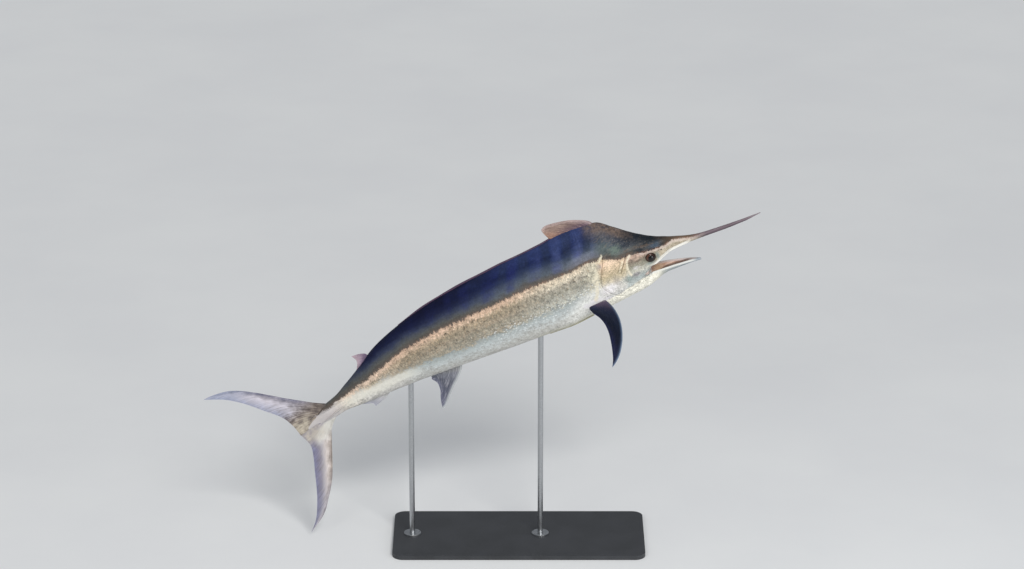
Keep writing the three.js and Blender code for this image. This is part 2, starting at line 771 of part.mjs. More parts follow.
function addNode(name, solid, look) {
  const data = solid.getMesh();
  const geometry = new THREE.BufferGeometry();
  geometry.setAttribute("position", new THREE.BufferAttribute(Float32Array.from(data.vertProperties), 3));
  geometry.setIndex(new THREE.BufferAttribute(Uint32Array.from(data.triVerts), 1));
  geometry.computeVertexNormals();
  const node = new THREE.Mesh(geometry, new THREE.MeshStandardMaterial(look));
  node.name = name;
  fish.add(node);
}

addNode("head", onSpine(head), HEAD_PAINT);
addNode("bill", onSpine(bill), BILL_PAINT);
addNode("lower_jaw", onSpine(jaw), WHITE_PAINT);
addNode("trunk_front", onSpine(trunkFront), BACK_PAINT);
addNode("trunk_middle", onSpine(trunkMiddle), FLANK_PAINT);
addNode("trunk_rear", onSpine(trunkRear), FLANK_PAINT);
addNode("peduncle", onSpine(peduncle), FLANK_PAINT);
addNode("first_dorsal_lobe", grownFrom(firstDorsalLobe), DORSAL_PAINT);
addNode("first_dorsal_fold", grownFrom(dorsalFold), BACK_PAINT);
addNode("second_dorsal_fin", grownFrom(secondDorsal), DORSAL_PAINT);
addNode("first_anal_fin", grownFrom(firstAnal), ANAL_PAINT);
addNode("second_anal_fin", grownFrom(secondAnal), WHITE_PAINT);
addNode("caudal_upper_lobe", grownFrom(upperLobe(0)), TAIL_PAINT);
addNode("caudal_lower_lobe", grownFrom(lowerLobe(0)), TAIL_PAINT);

for (const [word, side] of [["right", -1], ["left", 1]]) {
  addNode("gill_cover_" + word, onSpine(gillCover(side)), COVER_PAINT);
  addNode("eye_" + word, onSpine(eyeball(side, 0)), EYE_PAINT);
  addNode("pectoral_fin_" + word, largest(pectoral(side).subtract(bodyKeepOut)), PECTORAL_PAINT);
  addNode("pelvic_fin_" + word, grownFrom(pelvic(side)), WHITE_PAINT);
  addNode("keel_upper_" + word, keelNode(side, 12, 34), KEEL_PAINT);
  addNode("keel_lower_" + word, keelNode(side, -14, -26), KEEL_PAINT);
}

addNode("stand_base", standBase(), BASE_PAINT);
addNode("stand_rod_front", standRod(ROD_FRONT_X), ROD_PAINT);
addNode("stand_rod_rear", standRod(ROD_REAR_X), ROD_PAINT);

export default fish;
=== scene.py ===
"""Looks of the life-size black marlin: one skin, fins, eyes and a plain stand, in a soft studio.

The fish is laid out straight first, in millimetres: s runs forward from the tail base, w to the
fish's left and h up from the middle of the tail base. The spine then bends it into place.
"""
import itertools
import math

import bpy
import numpy as np
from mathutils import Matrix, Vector


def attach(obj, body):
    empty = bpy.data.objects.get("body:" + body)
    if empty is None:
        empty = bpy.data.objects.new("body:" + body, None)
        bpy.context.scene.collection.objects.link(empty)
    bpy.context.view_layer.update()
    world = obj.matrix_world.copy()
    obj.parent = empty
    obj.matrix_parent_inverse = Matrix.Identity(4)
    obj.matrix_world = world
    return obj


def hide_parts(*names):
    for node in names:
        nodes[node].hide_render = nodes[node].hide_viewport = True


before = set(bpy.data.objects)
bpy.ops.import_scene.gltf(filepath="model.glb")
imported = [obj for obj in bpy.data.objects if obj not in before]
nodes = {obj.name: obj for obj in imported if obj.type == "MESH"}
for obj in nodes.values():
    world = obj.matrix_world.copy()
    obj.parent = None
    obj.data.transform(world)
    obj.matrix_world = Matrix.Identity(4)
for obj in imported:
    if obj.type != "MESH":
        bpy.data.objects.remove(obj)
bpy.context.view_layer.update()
scene = bpy.context.scene
MM = 0.001
ELEVATION = math.radians(20)    # of the camera
SIDES = ((-1, "right"), (1, "left"))
NEVER_ZERO = 1e-9

# ------------ outline
BILL_TIP, JAW_TIP = 2646, 2256


def through(points):
    """A smooth line through a few stations, with no overshoot between them."""
    xs, ys = np.array(points, float).T
    step = np.diff(ys) / np.diff(xs)
    slopes = np.empty(len(xs))
    slopes[0], slopes[-1] = step[0], step[-1]
    both = step[:-1] * step[1:]
    total = np.where(step[:-1] + step[1:] == 0, 1, step[:-1] + step[1:])
    slopes[1:-1] = np.where(both <= 0, 0, 2 * both / total)

    def at(s):
        x = np.clip(s, xs[0], xs[-1])
        i = np.clip(np.searchsorted(xs, x, side="right") - 1, 0, len(xs) - 2)
        width = xs[i + 1] - xs[i]
        t = (x - xs[i]) / width
        lean = t * (1 - t) * width
        rise = (ys[i + 1] - ys[i]) * t * t * (3 - 2 * t)
        return ys[i] + rise + lean * (slopes[i] * (1 - t) - slopes[i + 1] * t)

    return at


back = through([
    (-150, 4), (-125, 10), (-100, 17), (-76, 24), (-40, 40), (0, 48), (80, 51), (180, 74),
    (300, 112), (420, 160), (620, 204), (900, 241), (1200, 264), (1450, 284), (1600, 308),
    (1720, 309), (1790, 298), (1860, 248), (1950, 176), (2050, 115), (2150, 76), (2250, 47),
    (2300, 39), (2420, 34), (2540, 32), (BILL_TIP, 33.5),
])
belly = through([
    (-150, -10), (-125, -14), (-100, -20), (-76, -26), (-40, -39), (0, -46), (80, -52), (180, -76),
    (300, -99), (420, -118), (620, -149), (900, -182), (1200, -203), (1450, -209), (1600, -192),
    (1720, -178), (1816, -166), (1878, -157), (1940, -143), (1958, -128), (1976, -58), (1990, -42),
    (2016, -30), (2050, -14), (2086, -1), (2120, 9), (2240, 13), (2300, 13), (2420, 12), (2540, 16),
    (BILL_TIP, 30),
])
half_width = through([
    (-150, 1.6), (-125, 2.6), (-100, 4.2), (-76, 6.5), (-40, 13), (0, 20), (80, 24), (180, 38),
    (300, 57), (420, 73), (620, 97), (900, 121), (1200, 135), (1450, 138), (1600, 135), (1720, 127),
    (1790, 116), (1860, 103), (1940, 86), (1990, 73), (2050, 57), (2150, 34), (2250, 19),
    (2300, 15), (2420, 11.5), (2540, 8.5), (BILL_TIP, 2),
])
# How high the widest place is, as a share of the depth, and how full the section is over and under it
widest_level = through([
    (-76, 0.5), (600, 0.46), (1600, 0.42), (1940, 0.4), (1958, 0.38), (1976, 0.25), (2050, 0.2),
    (2200, 0.28), (2300, 0.45), (2420, 0.5),
])
crest = through([(0, 1), (400, 1.15), (1500, 1.3), (1750, 1.3), (1900, 1.05), (2300, 1)])
under = through([(0, 1), (1500, 1.05), (1900, 1), (1990, 0.7), (2200, 0.8), (2300, 1)])

# Lower jaw
jaw_under = through([
    (1816, -167.5), (1878, -158.5), (1944, -142), (2010, -118), (2044, -104), (2076, -100),
    (2192, -101), (JAW_TIP, -107),
])
jaw_half = through([
    (1790, 117), (1860, 104), (1940, 87), (1992, 74), (2038, 65), (2094, 52), (2148, 38), (2204, 22),
    (JAW_TIP, 5),
])
jaw_level = through([
    (1790, 20), (1860, 5), (1940, -20), (1992, -62), (2094, -72), (2148, -81), (2204, -90),
    (JAW_TIP, -103),
])
jaw_rim = through([
    (1800, -130), (1900, -90), (1956, -67), (1980, -55), (2004, -57), (2050, -61), (2110, -68),
    (2154, -74), (2214, -85), (2270, -102),
])

# Where the dark back ends on the flank, and where the flank's bronze gives way to the pale belly
dark_edge = through([
    (-150, 30), (-80, 34), (-20, 34), (50, 30), (122, 31), (194, 37), (246, 43), (292, 42),
    (332, 48), (408, 62), (482, 77), (550, 87), (616, 93), (742, 100), (862, 102), (986, 105),
    (1104, 106), (1224, 113), (1346, 121), (1460, 121), (1578, 124), (1642, 134), (1700, 138),
    (1762, 126), (1792, 116), (1826, 97), (1856, 88), (1898, 88), (1922, 84), (1968, 74), (2000, 69),
    (2040, 63), (2080, 59), (2110, 60), (2140, 68), (2190, 58), (2236, 46), (2260, 40),
])
low_share = through([
    (-100, 0.6), (0, 0.56), (200, 0.53), (290, 0.41), (400, 0.36), (550, 0.345), (900, 0.30),
    (1300, 0.325), (1600, 0.33), (1720, 0.36),
])


def low_edge(s):
    return belly(s) + low_share(s) * (back(s) - belly(s))


# ------------ numbers over the fish
def ease_in(x, a, b):
    """0 before a, 1 past b, smooth between them; a may be the larger."""
    t = np.clip((np.asarray(x, float) - a) / (b - a), 0, 1)
    return t * t * (3 - 2 * t)


def between(x, a, b, c, d):
    """0 before a, 1 from b to c, 0 past d."""
    return ease_in(x, a, b) * ease_in(x, d, c)


def bell(x, middle, width):
    """1 at the middle, fading over the width on both sides."""
    return np.exp(-(((x - middle) / width) ** 2))


def circle(count):
    return 2 * np.pi * np.arange(count) / count


def hashed(i, j, k, seed):
    """The same pseudo-random number from -1 to 1 for a lattice point every run."""
    n = (i * 73856093) ^ (j * 19349663) ^ (k * 83492791) ^ (seed * 2654435761)
    n = (n ^ (n >> 13)) * 1274126177 & 0xFFFFFFFF
    return ((n ^ (n >> 16)) & 0xFFFF) / 32767.5 - 1


def lumps(points, size, seed):
    """Smooth noise from about -1 to 1, with lumps of the given size along s, w and h."""
    q = points / np.array(size, float) + 1000
    base = np.floor(q).astype(np.int64)
    f = q - base
    f = f * f * (3 - 2 * f)
    total = np.zeros(len(points))
    for corner in itertools.product((0, 1), repeat=3):
        a, b, c = (f[:, k] if far else 1 - f[:, k] for k, far in enumerate(corner))
        total += a * b * c * hashed(*(base + corner).T, seed)
    return total


# ------------ spine
TAIL_BASE_X, TAIL_BASE_Z = -1054, 753
CLIMB_DEG, TAIL_HANG_DEG, HANG_POWER, HANG_FROM = 21, 18.8, 1.6, 1700
SPINE_STEP, SPINE_REAR, SPINE_FRONT = 10, -800, 2800


def pitch_at(s):
    reach = np.maximum(0, (HANG_FROM - np.maximum(s, 0)) / HANG_FROM)
    return np.radians(CLIMB_DEG + TAIL_HANG_DEG * reach**HANG_POWER)


spine_s = np.arange(SPINE_REAR, SPINE_FRONT + 1, SPINE_STEP, dtype=float)
steps = pitch_at(np.maximum(spine_s[:-1] + SPINE_STEP / 2, 0))
spine_x = np.concatenate([[0], np.cumsum(SPINE_STEP * np.cos(steps))])
spine_z = np.concatenate([[0], np.cumsum(SPINE_STEP * np.sin(steps))])
zero = int(-SPINE_REAR / SPINE_STEP)
spine_x += TAIL_BASE_X - spine_x[zero]
spine_z += TAIL_BASE_Z - spine_z[zero]


def bent(points):
    """Points of the straight fish (s, w, h) in millimetres, carried to their place in metres."""
    s, w, h = np.asarray(points, float).T
    pitch = pitch_at(s)
    x = np.interp(s, spine_s, spine_x) - h * np.sin(pitch)
    z = np.interp(s, spine_s, spine_z) + h * np.cos(pitch)
    return np.stack([x, w, z], 1) * MM


# ------------ mesh helpers
def mesh_object(name, points, faces, smooth=True):
    mesh = bpy.data.meshes.new(name)
    faces = np.asarray(faces, np.int32)
    mesh.vertices.add(len(points))
    mesh.vertices.foreach_set("co", np.asarray(points, np.float32).ravel())
    mesh.loops.add(faces.size)
    mesh.loops.foreach_set("vertex_index", faces.ravel())
    mesh.polygons.add(len(faces))
    mesh.polygons.foreach_set("loop_start", np.arange(0, faces.size, faces.shape[1], dtype=np.int32))
    mesh.polygons.foreach_set("use_smooth", np.full(len(faces), smooth))
    mesh.update(calc_edges=True)
    mesh.validate()
    made = bpy.data.objects.new(name, mesh)
    scene.collection.objects.link(made)
    return made


def keep(made, name, values):
    """Stores a vector for each vertex, for the material to read."""
    stored = made.data.attributes.new(name, "FLOAT_VECTOR", "POINT")
    stored.data.foreach_set("vector", np.asarray(values, np.float32).ravel())


def in_part(made, slot, *nodes):
    """A piece of the part: it stands for the named nodes, which are hidden. The slot is not used."""
    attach(made, "root")
    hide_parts(*nodes)


def loft(rings):
    """A closed skin of triangles over rings of equal count: (points, faces)."""
    rings = np.asarray(rings, float)
    rows, count = rings.shape[:2]
    points = rings.reshape(-1, 3)
    i, j = np.meshgrid(np.arange(rows - 1), np.arange(count), indexing="ij")
    a, b = (i * count + j).ravel(), (i * count + (j + 1) % count).ravel()
    tris = [np.stack([a, b, a + count], 1), np.stack([b, b + count, a + count], 1)]
    ends = np.stack([rings[0].mean(0), rings[-1].mean(0)])
    j = np.arange(count)
    n, last = len(points), (rows - 1) * count
    tris.append(np.stack([np.full(count, n), (j + 1) % count, j], 1))
    tris.append(np.stack([np.full(count, n + 1), last + j, last + (j + 1) % count], 1))
    return np.concatenate([points, ends]), np.concatenate(tris)


def ring(s, w, h):
    return np.stack([np.full(len(w), float(s)), w, h], 1)


def joined(parts):
    points, faces, start = [], [], 0
    for p, f in parts:
        points.append(p)
        faces.append(f + start)
        start += len(p)
    return np.concatenate(points), np.concatenate(faces)


def neighbours(faces, count):
    """Each pair of linked vertices once, and how many links each vertex has."""
    loops = np.concatenate([faces[:, [i, (i + 1) % 4]] for i in range(4)])
    pairs = np.unique(np.sort(loops, 1), axis=0)
    links = np.bincount(pairs.ravel(), minlength=count).astype(float)
    return pairs, links


def soften(points, pairs, links, amount, counter, passes):
    """Moves each vertex towards the middle of its neighbours, then back by the counter amount."""
    for share in (amount, -counter) * passes:
        mean = np.empty_like(points)
        for k in range(3):
            column = points[:, k]
            mean[:, k] = np.bincount(pairs[:, 0], column[pairs[:, 1]], len(points))
            mean[:, k] += np.bincount(pairs[:, 1], column[pairs[:, 0]], len(points))
        points = points + (mean / links[:, None] - points) * share
    return points


def normals_of(points, faces):
    """Vertex normals of a mesh of quads."""
    p = points[faces]
    flat = np.cross(p[:, 2] - p[:, 0], p[:, 3] - p[:, 1])
    total = np.zeros_like(points)
    for i in range(4):
        for k in range(3):
            total[:, k] += np.bincount(faces[:, i], flat[:, k], len(points))
    return total / np.maximum(np.linalg.norm(total, axis=1, keepdims=True), 1e-12)


# ------------ body surface
BODY_COUNT, LIP_COUNT, KEEL_COUNT = 180, 16, 20     # points around a ring
KEEL_REAR, KEEL_FRONT = -104, 140
ROOF_WALL, ROOF_RISE = 9.5, 11      # the mouth's roof: thickness of its walls, and how far it is hollowed


def widest_at(s):
    return belly(s) + widest_level(s) * (back(s) - belly(s))


def body_ring(s):
    """One ring of head, trunk or bill; the roof of the open mouth is hollowed out of it."""
    turn = circle(BODY_COUNT)
    up, out = np.cos(turn), np.sin(turn)
    top, bottom, half, level = back(s), belly(s), half_width(s), widest_at(s)
    power = np.where(up > 0, crest(s), under(s))
    h = level + np.where(up > 0, top - level, level - bottom) * up
    w = np.sign(out) * half * np.abs(out) ** power
    inner = max(half - ROOF_WALL, 2)
    roof = between(s, 1990, 2010, 2205, 2232)
    rise = ROOF_RISE * roof * ease_in(np.abs(w), inner, inner - 5) * (up < 0)
    return ring(s, w, h + rise)


def jaw_ring(s):
    """One ring of the lower jaw: outer wall, lip, and the trough that is the floor of the mouth."""
    rim = jaw_rim(s)
    level, low = min(jaw_level(s), rim - 4), jaw_under(s) + 10 * ease_in(s, 1950, 1835)
    # at the rear it lies just within the skin of the head
    drop = min(max((widest_at(s) - level) / (widest_at(s) - belly(s)), 0), 0.95)
    within = half_width(s) * (1 - drop**2) ** (under(s) / 2) - 3
    rear = ease_in(s, 1985, 1925)
    half = jaw_half(s) * (1 - rear) + within * rear
    down = np.radians(np.linspace(0, 90, 22))
    outer = [(half, rim - 2.5), (half, (rim + level) / 2)]
    outer += [(half * math.cos(a) ** 0.85, level - (level - low) * math.sin(a)) for a in down]
    lip = [(max(half - inwards, 0.6), rim + rise)
           for inwards, rise in ((0.9, 0.2), (2.6, 1.2), (4.6, 0.6), (6.2, -1))]
    # the trough runs out towards both ends
    hollow = between(s, 1978, 2000, 2222, 2238)
    half = max(half - 8.5, 0.5)
    level = min(level + 2, rim - 6)
    floor = rim - 2 + (min(low + 16, level - 5) - rim + 2) * hollow
    level = rim - 1.5 + (level - rim + 1.5) * hollow
    inner = [(half, (rim - 3) * 0.5 + level * 0.5)]
    inner += [(half * math.cos(a) ** 0.7, level - (level - floor) * math.sin(a)) for a in down]
    side = outer[::-1] + lip + inner
    return np.array([(s, w, h) for w, h in side] + [(s, -w, h) for w, h in side[::-1][1:-1]])


def lip_rings(stations, side):
    """The upper lip: a rounded flap from inside the snout's wall down to the edge of the mouth."""
    rings = []
    turn = circle(LIP_COUNT)
    for s in stations:
        half, bottom, level = half_width(s), belly(s), widest_at(s)
        w = half - 4.6 - 4 * ease_in(s, 2040, 1990)
        up = -math.sqrt(1 - (w / half) ** (2 / under(s)))
        high = level + (level - bottom) * up + 4
        low = min(bottom + 1.5 + 14 * ease_in(s, 2040, 1985), high - 4)
        size = 0.3 if s in (stations[0], stations[-1]) else 1
        reach, thick = size * (high - low) / 2, size * min(3.8, half / 3)
        rings.append(ring(s, side * (w + thick * np.sin(turn)), (high + low) / 2 + reach * np.cos(turn)))
    return loft(rings)


keel_foot = through([(KEEL_REAR, -3), (-60, 2), (0, 12), (60, 17), (KEEL_FRONT, 26)])


def keel(side, front_h, rear_h):
    """One of the two low blades on each side of the tail base."""
    turn = circle(KEEL_COUNT)
    rings = []
    for s in np.linspace(KEEL_REAR, KEEL_FRONT, 50):
        share = (s - KEEL_REAR) / (KEEL_FRONT - KEEL_REAR)
        swell = math.sin(math.pi * share)
        foot = float(keel_foot(s)) - 6
        crown = float(keel_foot(s)) + 3 + 17 * swell ** (0.8 if share > 0.5 else 1.5)
        level = rear_h + (front_h - rear_h) * share
        out = np.cos(turn)
        thick = 4.6 * (1 - 0.5 * np.maximum(out, 0)) * (0.2 + 0.8 * swell)
        rings.append(ring(s, side * ((foot + crown) / 2 + (crown - foot) / 2 * out),
                          level + thick * np.sin(turn)))
    return loft(rings)


body_stations = np.concatenate([
    np.arange(-150, 160, 8), np.arange(160, 1700, 14), np.arange(1700, 1940, 6),
    np.arange(1940, 2270, 3), np.arange(2270, BILL_TIP, 8), [BILL_TIP],
])
jaw_stations = np.concatenate([np.arange(1830, 2250, 5), [2250, JAW_TIP]])
parts = [loft([body_ring(s) for s in body_stations]), loft([jaw_ring(s) for s in jaw_stations])]
for side, _ in SIDES:
    parts += [lip_rings(np.arange(1990, 2240, 5), side), keel(side, 12, 34), keel(side, -14, -26)]
raw_points, raw_faces = joined(parts)

# A finer grain where the forms are small: the head is drawn larger before it is wrapped in one skin
grain = through([
    (-160, 1.7), (150, 1.5), (260, 1), (1640, 1), (1760, 1.75), (1940, 1.9), (2262, 2.1),
    (2400, 2.8), (2560, 3.8), (2660, 6),
])
GRAIN_MIDDLE = 25       # the level that stays where it is
LONGEST = 2             # the grain's limit along the fish
VOXEL = 3.6
SOFTEN, COUNTER, SOFTEN_PASSES = 0.5, 0.52, 7
wide_s = np.arange(-220.0, 2720.0, 1.0)
wide_k = np.concatenate([[0], np.cumsum(np.minimum(grain(wide_s[:-1] + 0.5), LONGEST))])


def drawn_larger(p):
    s, w, h = p.T
    k = grain(s)
    return np.stack([np.interp(s, wide_s, wide_k), w * k, (h - GRAIN_MIDDLE) * k], 1)


def drawn_back(p):
    s = np.interp(p[:, 0], wide_k, wide_s)
    k = grain(s)
    return np.stack([s, p[:, 1] / k, p[:, 2] / k + GRAIN_MIDDLE], 1)


wrap = mesh_object("wrap", drawn_larger(raw_points) * MM, raw_faces)
remesh = wrap.modifiers.new("wrap", "REMESH")
remesh.mode, remesh.voxel_size, remesh.adaptivity = "VOXEL", VOXEL * MM, 0
bpy.context.view_layer.update()
result = wrap.evaluated_get(bpy.context.evaluated_depsgraph_get()).to_mesh()
skin_points = np.empty(len(result.vertices) * 3, np.float32)
result.vertices.foreach_get("co", skin_points)
skin_points = skin_points.reshape(-1, 3).astype(float) / MM
skin_faces = np.empty(len(result.polygons) * 4, np.int32)
result.loops.foreach_get("vertex_index", skin_faces)
skin_faces = skin_faces.reshape(-1, 4)
bpy.data.objects.remove(wrap)
pairs, links = neighbours(skin_faces, len(skin_points))
skin = drawn_back(soften(skin_points, pairs, links, SOFTEN, COUNTER, SOFTEN_PASSES))
if normals_of(skin, skin_faces)[np.argmax(skin[:, 2]), 2] < 0:
    skin_faces = skin_faces[:, ::-1].copy()


# ------------ relief of the skin
def from_line(points, x, y):
    """Distance from an open line, on which side (1 is behind it, towards the tail), and the share of
    the line at which it is nearest."""
    best = np.full(x.shape, 1e9)
    sign, share = np.ones(x.shape), np.zeros(x.shape)
    total = sum(math.dist(a, b) for a, b in zip(points, points[1:]))
    done = 0
    for (x0, y0), (x1, y1) in zip(points, points[1:]):
        dx, dy = x1 - x0, y1 - y0
        length = math.hypot(dx, dy)
        t = np.clip(((x - x0) * dx + (y - y0) * dy) / max(length**2, NEVER_ZERO), 0, 1)
        away = np.hypot(x - x0 - t * dx, y - y0 - t * dy)
        nearer = away < best
        best = np.where(nearer, away, best)
        sign = np.where(nearer, np.sign(dx * (y - y0) - dy * (x - x0)), sign)
        share = np.where(nearer, (done + t * length) / total, share)
        done += length
    return best, sign, share


def reaching(points):
    """The points with one more beyond each end."""
    p = np.array(points, float)
    return np.concatenate([[2 * p[0] - p[1]], p, [2 * p[-1] - p[-2]]])


def curve(points, count=40):
    """A smooth open line through a few points, as many short steps."""
    p = reaching(points)
    out = []
    for a, b, c, d in zip(p, p[1:], p[2:], p[3:]):
        for t in np.linspace(0, 1, max(2, count // (len(p) - 3)), endpoint=False):
            out.append(0.5 * (2 * b + (c - a) * t + (2 * a - 5 * b + 4 * c - d) * t**2
                              + (3 * b - a - 3 * c + d) * t**3))
    return [tuple(q) for q in (*out, p[-2])]


GILL_EDGE = curve([(1766, 142), (1758, 120), (1748, 92), (1734, 66), (1719, 36), (1708, 4), (1706, -24),
                   (1716, -53), (1731, -78), (1750, -102), (1778, -126), (1812, -142)], 66)
PREOPERCLE = curve([(1892, 98), (1868, 64), (1850, 40), (1834, 15), (1830, -18), (1842, -46),
                    (1858, -66), (1878, -75), (1902, -71), (1928, -55)], 54)
MAXILLA_TOP = curve([(2150, 32), (2110, 17), (2072, 4), (2044, -4), (2008, -18), (1972, -36), (1938, -50)])
JAW_FOLD = curve([(1968, -61), (1936, -69), (1910, -77), (1846, -91), (1784, -100), (1740, -107)])
GILL_BAND = curve([(1706, 64), (1692, 31), (1682, -9), (1668, -49), (1650, -78)])
GILL_BAND_TOP = curve([(1764, 142), (1754, 132), (1738, 118)])
CHEEK_RIDGE = curve([(1904, 82), (1884, 62), (1874, 36), (1870, 8), (1878, -22)])
PLATE_STRIPE = curve([(1858, 68), (1838, 41), (1822, 20)])
PLATE_LINE = curve([(1843, 70), (1822, 27)])
MOUTH_CREASE = curve([(2012, -28), (1996, -36), (1970, -46), (1948, -54), (1928, -60)])
CORNER_LINE = curve([(1990, -54), (1966, -57), (1944, -61)])
RUST = [curve(ends) for ends in ([(1884, 115), (1960, 113)], [(1934, 106), (2012, 97)],
                                 [(1976, 96), (2044, 88)], [(1852, 106), (1922, 92)])]
NAPE_LINE = curve([(1828, 243), (1868, 238)])
EYE_S, EYE_H, EYE_LEAN = 2007, 25, math.radians(-14)
EYE_LONG, EYE_HIGH = 30.5, 25.5     # half the opening between the lids
NOSTRILS = [((2074, 41), (5.2, 4.0)), ((2061, 44), (5.0, 2.4))]     # middle, half the size
VENT_S = 838
PELVIC_REAR, PELVIC_FRONT = 1330, 1600


def pelvic_share(s):
    return np.clip((s - PELVIC_REAR) / (PELVIC_FRONT - PELVIC_REAR), 0, 1)


def pelvic_middle(s):
    """How far out the folded pelvic fin lies."""
    return 24 - 8 * (1 - pelvic_share(s))


s, w, h = skin.T
out_by = np.abs(w)
bottom, rim, over_edge = belly(s), jaw_rim(s), h - dark_edge(s)
normal = normals_of(skin, skin_faces)
flank = ease_in(np.abs(normal[:, 1]), 0.15, 0.55)


def spot(at_s, at_h, wide, high):
    """1 at a place of the side view, fading around it."""
    return np.exp(-(((s - at_s) / wide) ** 2) - ((h - at_h) / high) ** 2)


# inside of the mouth: floor and walls of the jaw, and roof
floor_h = jaw_under(s)
in_jaw = ease_in(out_by, jaw_half(s) - 3.5, jaw_half(s) - 7) * ease_in(h, floor_h + 9, floor_h + 12)
in_jaw *= ease_in(h, bottom - 2, bottom - 8)
in_jaw *= ease_in(normal[:, 2] - 0.9 * normal[:, 1] * np.sign(w), -0.1, 0.35)
in_roof = ease_in(out_by, half_width(s) - 7, half_width(s) - 11) * ease_in(h, bottom + 13.5, bottom + 12)
in_roof *= (h > bottom - 9) & (normal[:, 2] < 0.3)
mouth = between(s, 1970, 1984, 2226, 2240) * np.maximum(in_jaw, in_roof)
outside = 1 - mouth
side_on = flank * outside
jaw_part = (s > 1976) & (h < rim + 4)

shift = np.zeros(len(skin))     # outwards, in mm
dark = np.zeros(len(skin))      # soft shade in folds and slits

# gill cover: it stands proud of the trunk, and its free edge has a slit behind it
away, sign, share = from_line(GILL_EDGE, s, h)
behind, ahead = away * sign, -away * sign
weight = side_on * ease_in(h, 150, 132) * (out_by > 20) * between(share, 0, 0.08, 0.82, 1)
shift += weight * (5 * ease_in(ahead, -1.5, 1.5) * np.exp(-np.maximum(ahead, 0) / 55)
                   - 4 * bell(behind, 3.6, 2.4) + 2.4 * bell(behind, 17, 8) - 1.2 * bell(ahead, 9, 4))
ragged = 0.55 + 0.45 * lumps(skin, (9, 9, 9), 21)
dark += weight * (0.25 + 0.65 * ease_in(h, -40, 20)) * ragged * bell(behind, 3, 2.3)

# cheek plate edge, the upper jaw's upper edge, and the fold behind the corner of the mouth
away, sign, share = from_line(PREOPERCLE, s, h)
weight = side_on * between(share, 0, 0.05, 0.85, 1) * (1 - 0.55 * ease_in(share, 0.35, 0.7))
raised = 1.6 * ease_in(-away * sign, -1, 3) * np.exp(-away / 22) * (sign < 0)
shift += weight * (raised - 2.8 * bell(away, 0, 2.6))
dark += weight * (0.9 * ease_in(share, 0.55, 0.3) * bell(away, 0, 2.6)
                  + 0.42 * ease_in(share, 0.4, 0.7) * bell(away, 0, 3.6))
away, sign, share = from_line(MAXILLA_TOP, s, h)
weight = side_on * between(share, 0, 0.2, 0.9, 1) * ~jaw_part
shift += weight * (1.5 * bell(away, 9, 6) * (sign > 0) - 1.8 * bell(away, 0, 2.8))
dark += weight * 0.35 * bell(away, 0, 3.2)
away, sign, share = from_line(JAW_FOLD, s, h)
weight = side_on * ease_in(share, 1, 0.8) * ease_in(s, 1975, 1950)
shift -= weight * 2.6 * bell(away, 0, 2.8)
dark += weight * 0.45 * bell(away, 0, 3)

# pale lips, and the skin in the corner of the mouth
upper_lip = between(s, 1962, 1990, 2200, 2262) * ~jaw_part * ease_in(h, bottom + 20, bottom + 13)
lower_lip = between(s, 1976, 1992, 2200, 2240) * jaw_part * ease_in(h, rim - 12, rim - 7)
maxilla = outside * np.maximum(upper_lip, 0.7 * lower_lip)
membrane = side_on * ease_in(np.hypot((s - 1972) / 26, (h + 50 - 0.1 * (s - 1972)) / 9), 1.2, 0.6)

# rays of the gill membrane under the head
for i in range(6):
    ray = curve([(1900 - 16 * i, -112 - 7 * i), (1840 - 16 * i, -122 - 6 * i),
                 (1784 - 14 * i, -128 - 5.5 * i), (1735 - 5 * i, -134 - 5 * i)])
    away, sign, share = from_line(ray, s, h)
    weight = outside * ease_in(out_by, 6, 20) * between(share, 0, 0.2, 0.75, 1)
    shift += weight * (h < -90) * ease_in(s, 1690, 1735) * 1.1 * bell(away, 0, 3.4)

# eye: socket, lids and brow
along_eye = (s - EYE_S) * math.cos(EYE_LEAN) + (h - EYE_H) * math.sin(EYE_LEAN)
up_eye = (h - EYE_H) * math.cos(EYE_LEAN) - (s - EYE_S) * math.sin(EYE_LEAN)
oval = np.hypot(along_eye / EYE_LONG, up_eye / EYE_HIGH)
weight = (h > -25) * (s > 1950) * (s < 2080) * outside
lids = (3.4 + 1.8 * ease_in(up_eye, 2, 20)) * bell(oval, 1.07, 0.1) - 1.4 * bell(oval, 1.32, 0.09)
shift += weight * (lids + 1.6 * bell(oval, 1.52, 0.12) * ease_in(up_eye, -10, 20)
                   - 7 * ease_in(oval, 0.98, 0.8) + 4 * spot(EYE_S - 6, 70, 46, 11))
dark += weight * (0.55 * bell(oval, 1, 0.07) + 0.22 * bell(oval, 1.31, 0.07))
for (ns, nh), (na, nb) in NOSTRILS:
    pit = np.hypot((s - ns) / na, (h - nh) / nb)
    shift += side_on * (0.8 * bell(pit, 1.35, 0.25) - 4.2 * ease_in(pit, 1.15, 0.5))
    dark += side_on * ease_in(pit, 1.2, 0.6)

# hollow behind the eye, cheek muscle, hollow over the snout and temple ridge
shift += side_on * (3.2 * spot(1890, -8, 34, 36) - 2.4 * spot(1946, 28, 24, 17)
                    - 2.6 * spot(2080, 74, 60, 10)
                    + 1.8 * bell(over_edge, 18, 12) * between(s, 1760, 1850, 2000, 2100))
# grooves that the folded first dorsal and the folded pelvic fins lie in, and the one before the vent
shift -= 2.2 * bell(out_by, 6.5, 2.6) * between(s, 560, 700, 1500, 1560) * (h > 100)
shift -= 3.0 * bell(out_by, pelvic_middle(s), 10) * between(s, 1310, 1360, 1610, 1660) * (h < -150)
shift -= 2.0 * bell(w, 0, 5) * between(s, 800, 860, 1250, 1330) * (h < -100)
vent = np.hypot((s - VENT_S) / 13, w / 5)
shift += (h < -120) * (1.6 * bell(vent, 1.5, 0.35) - 5 * ease_in(vent, 1.2, 0.4))
dark += (h < -120) * 0.7 * ease_in(vent, 1.2, 0.5)
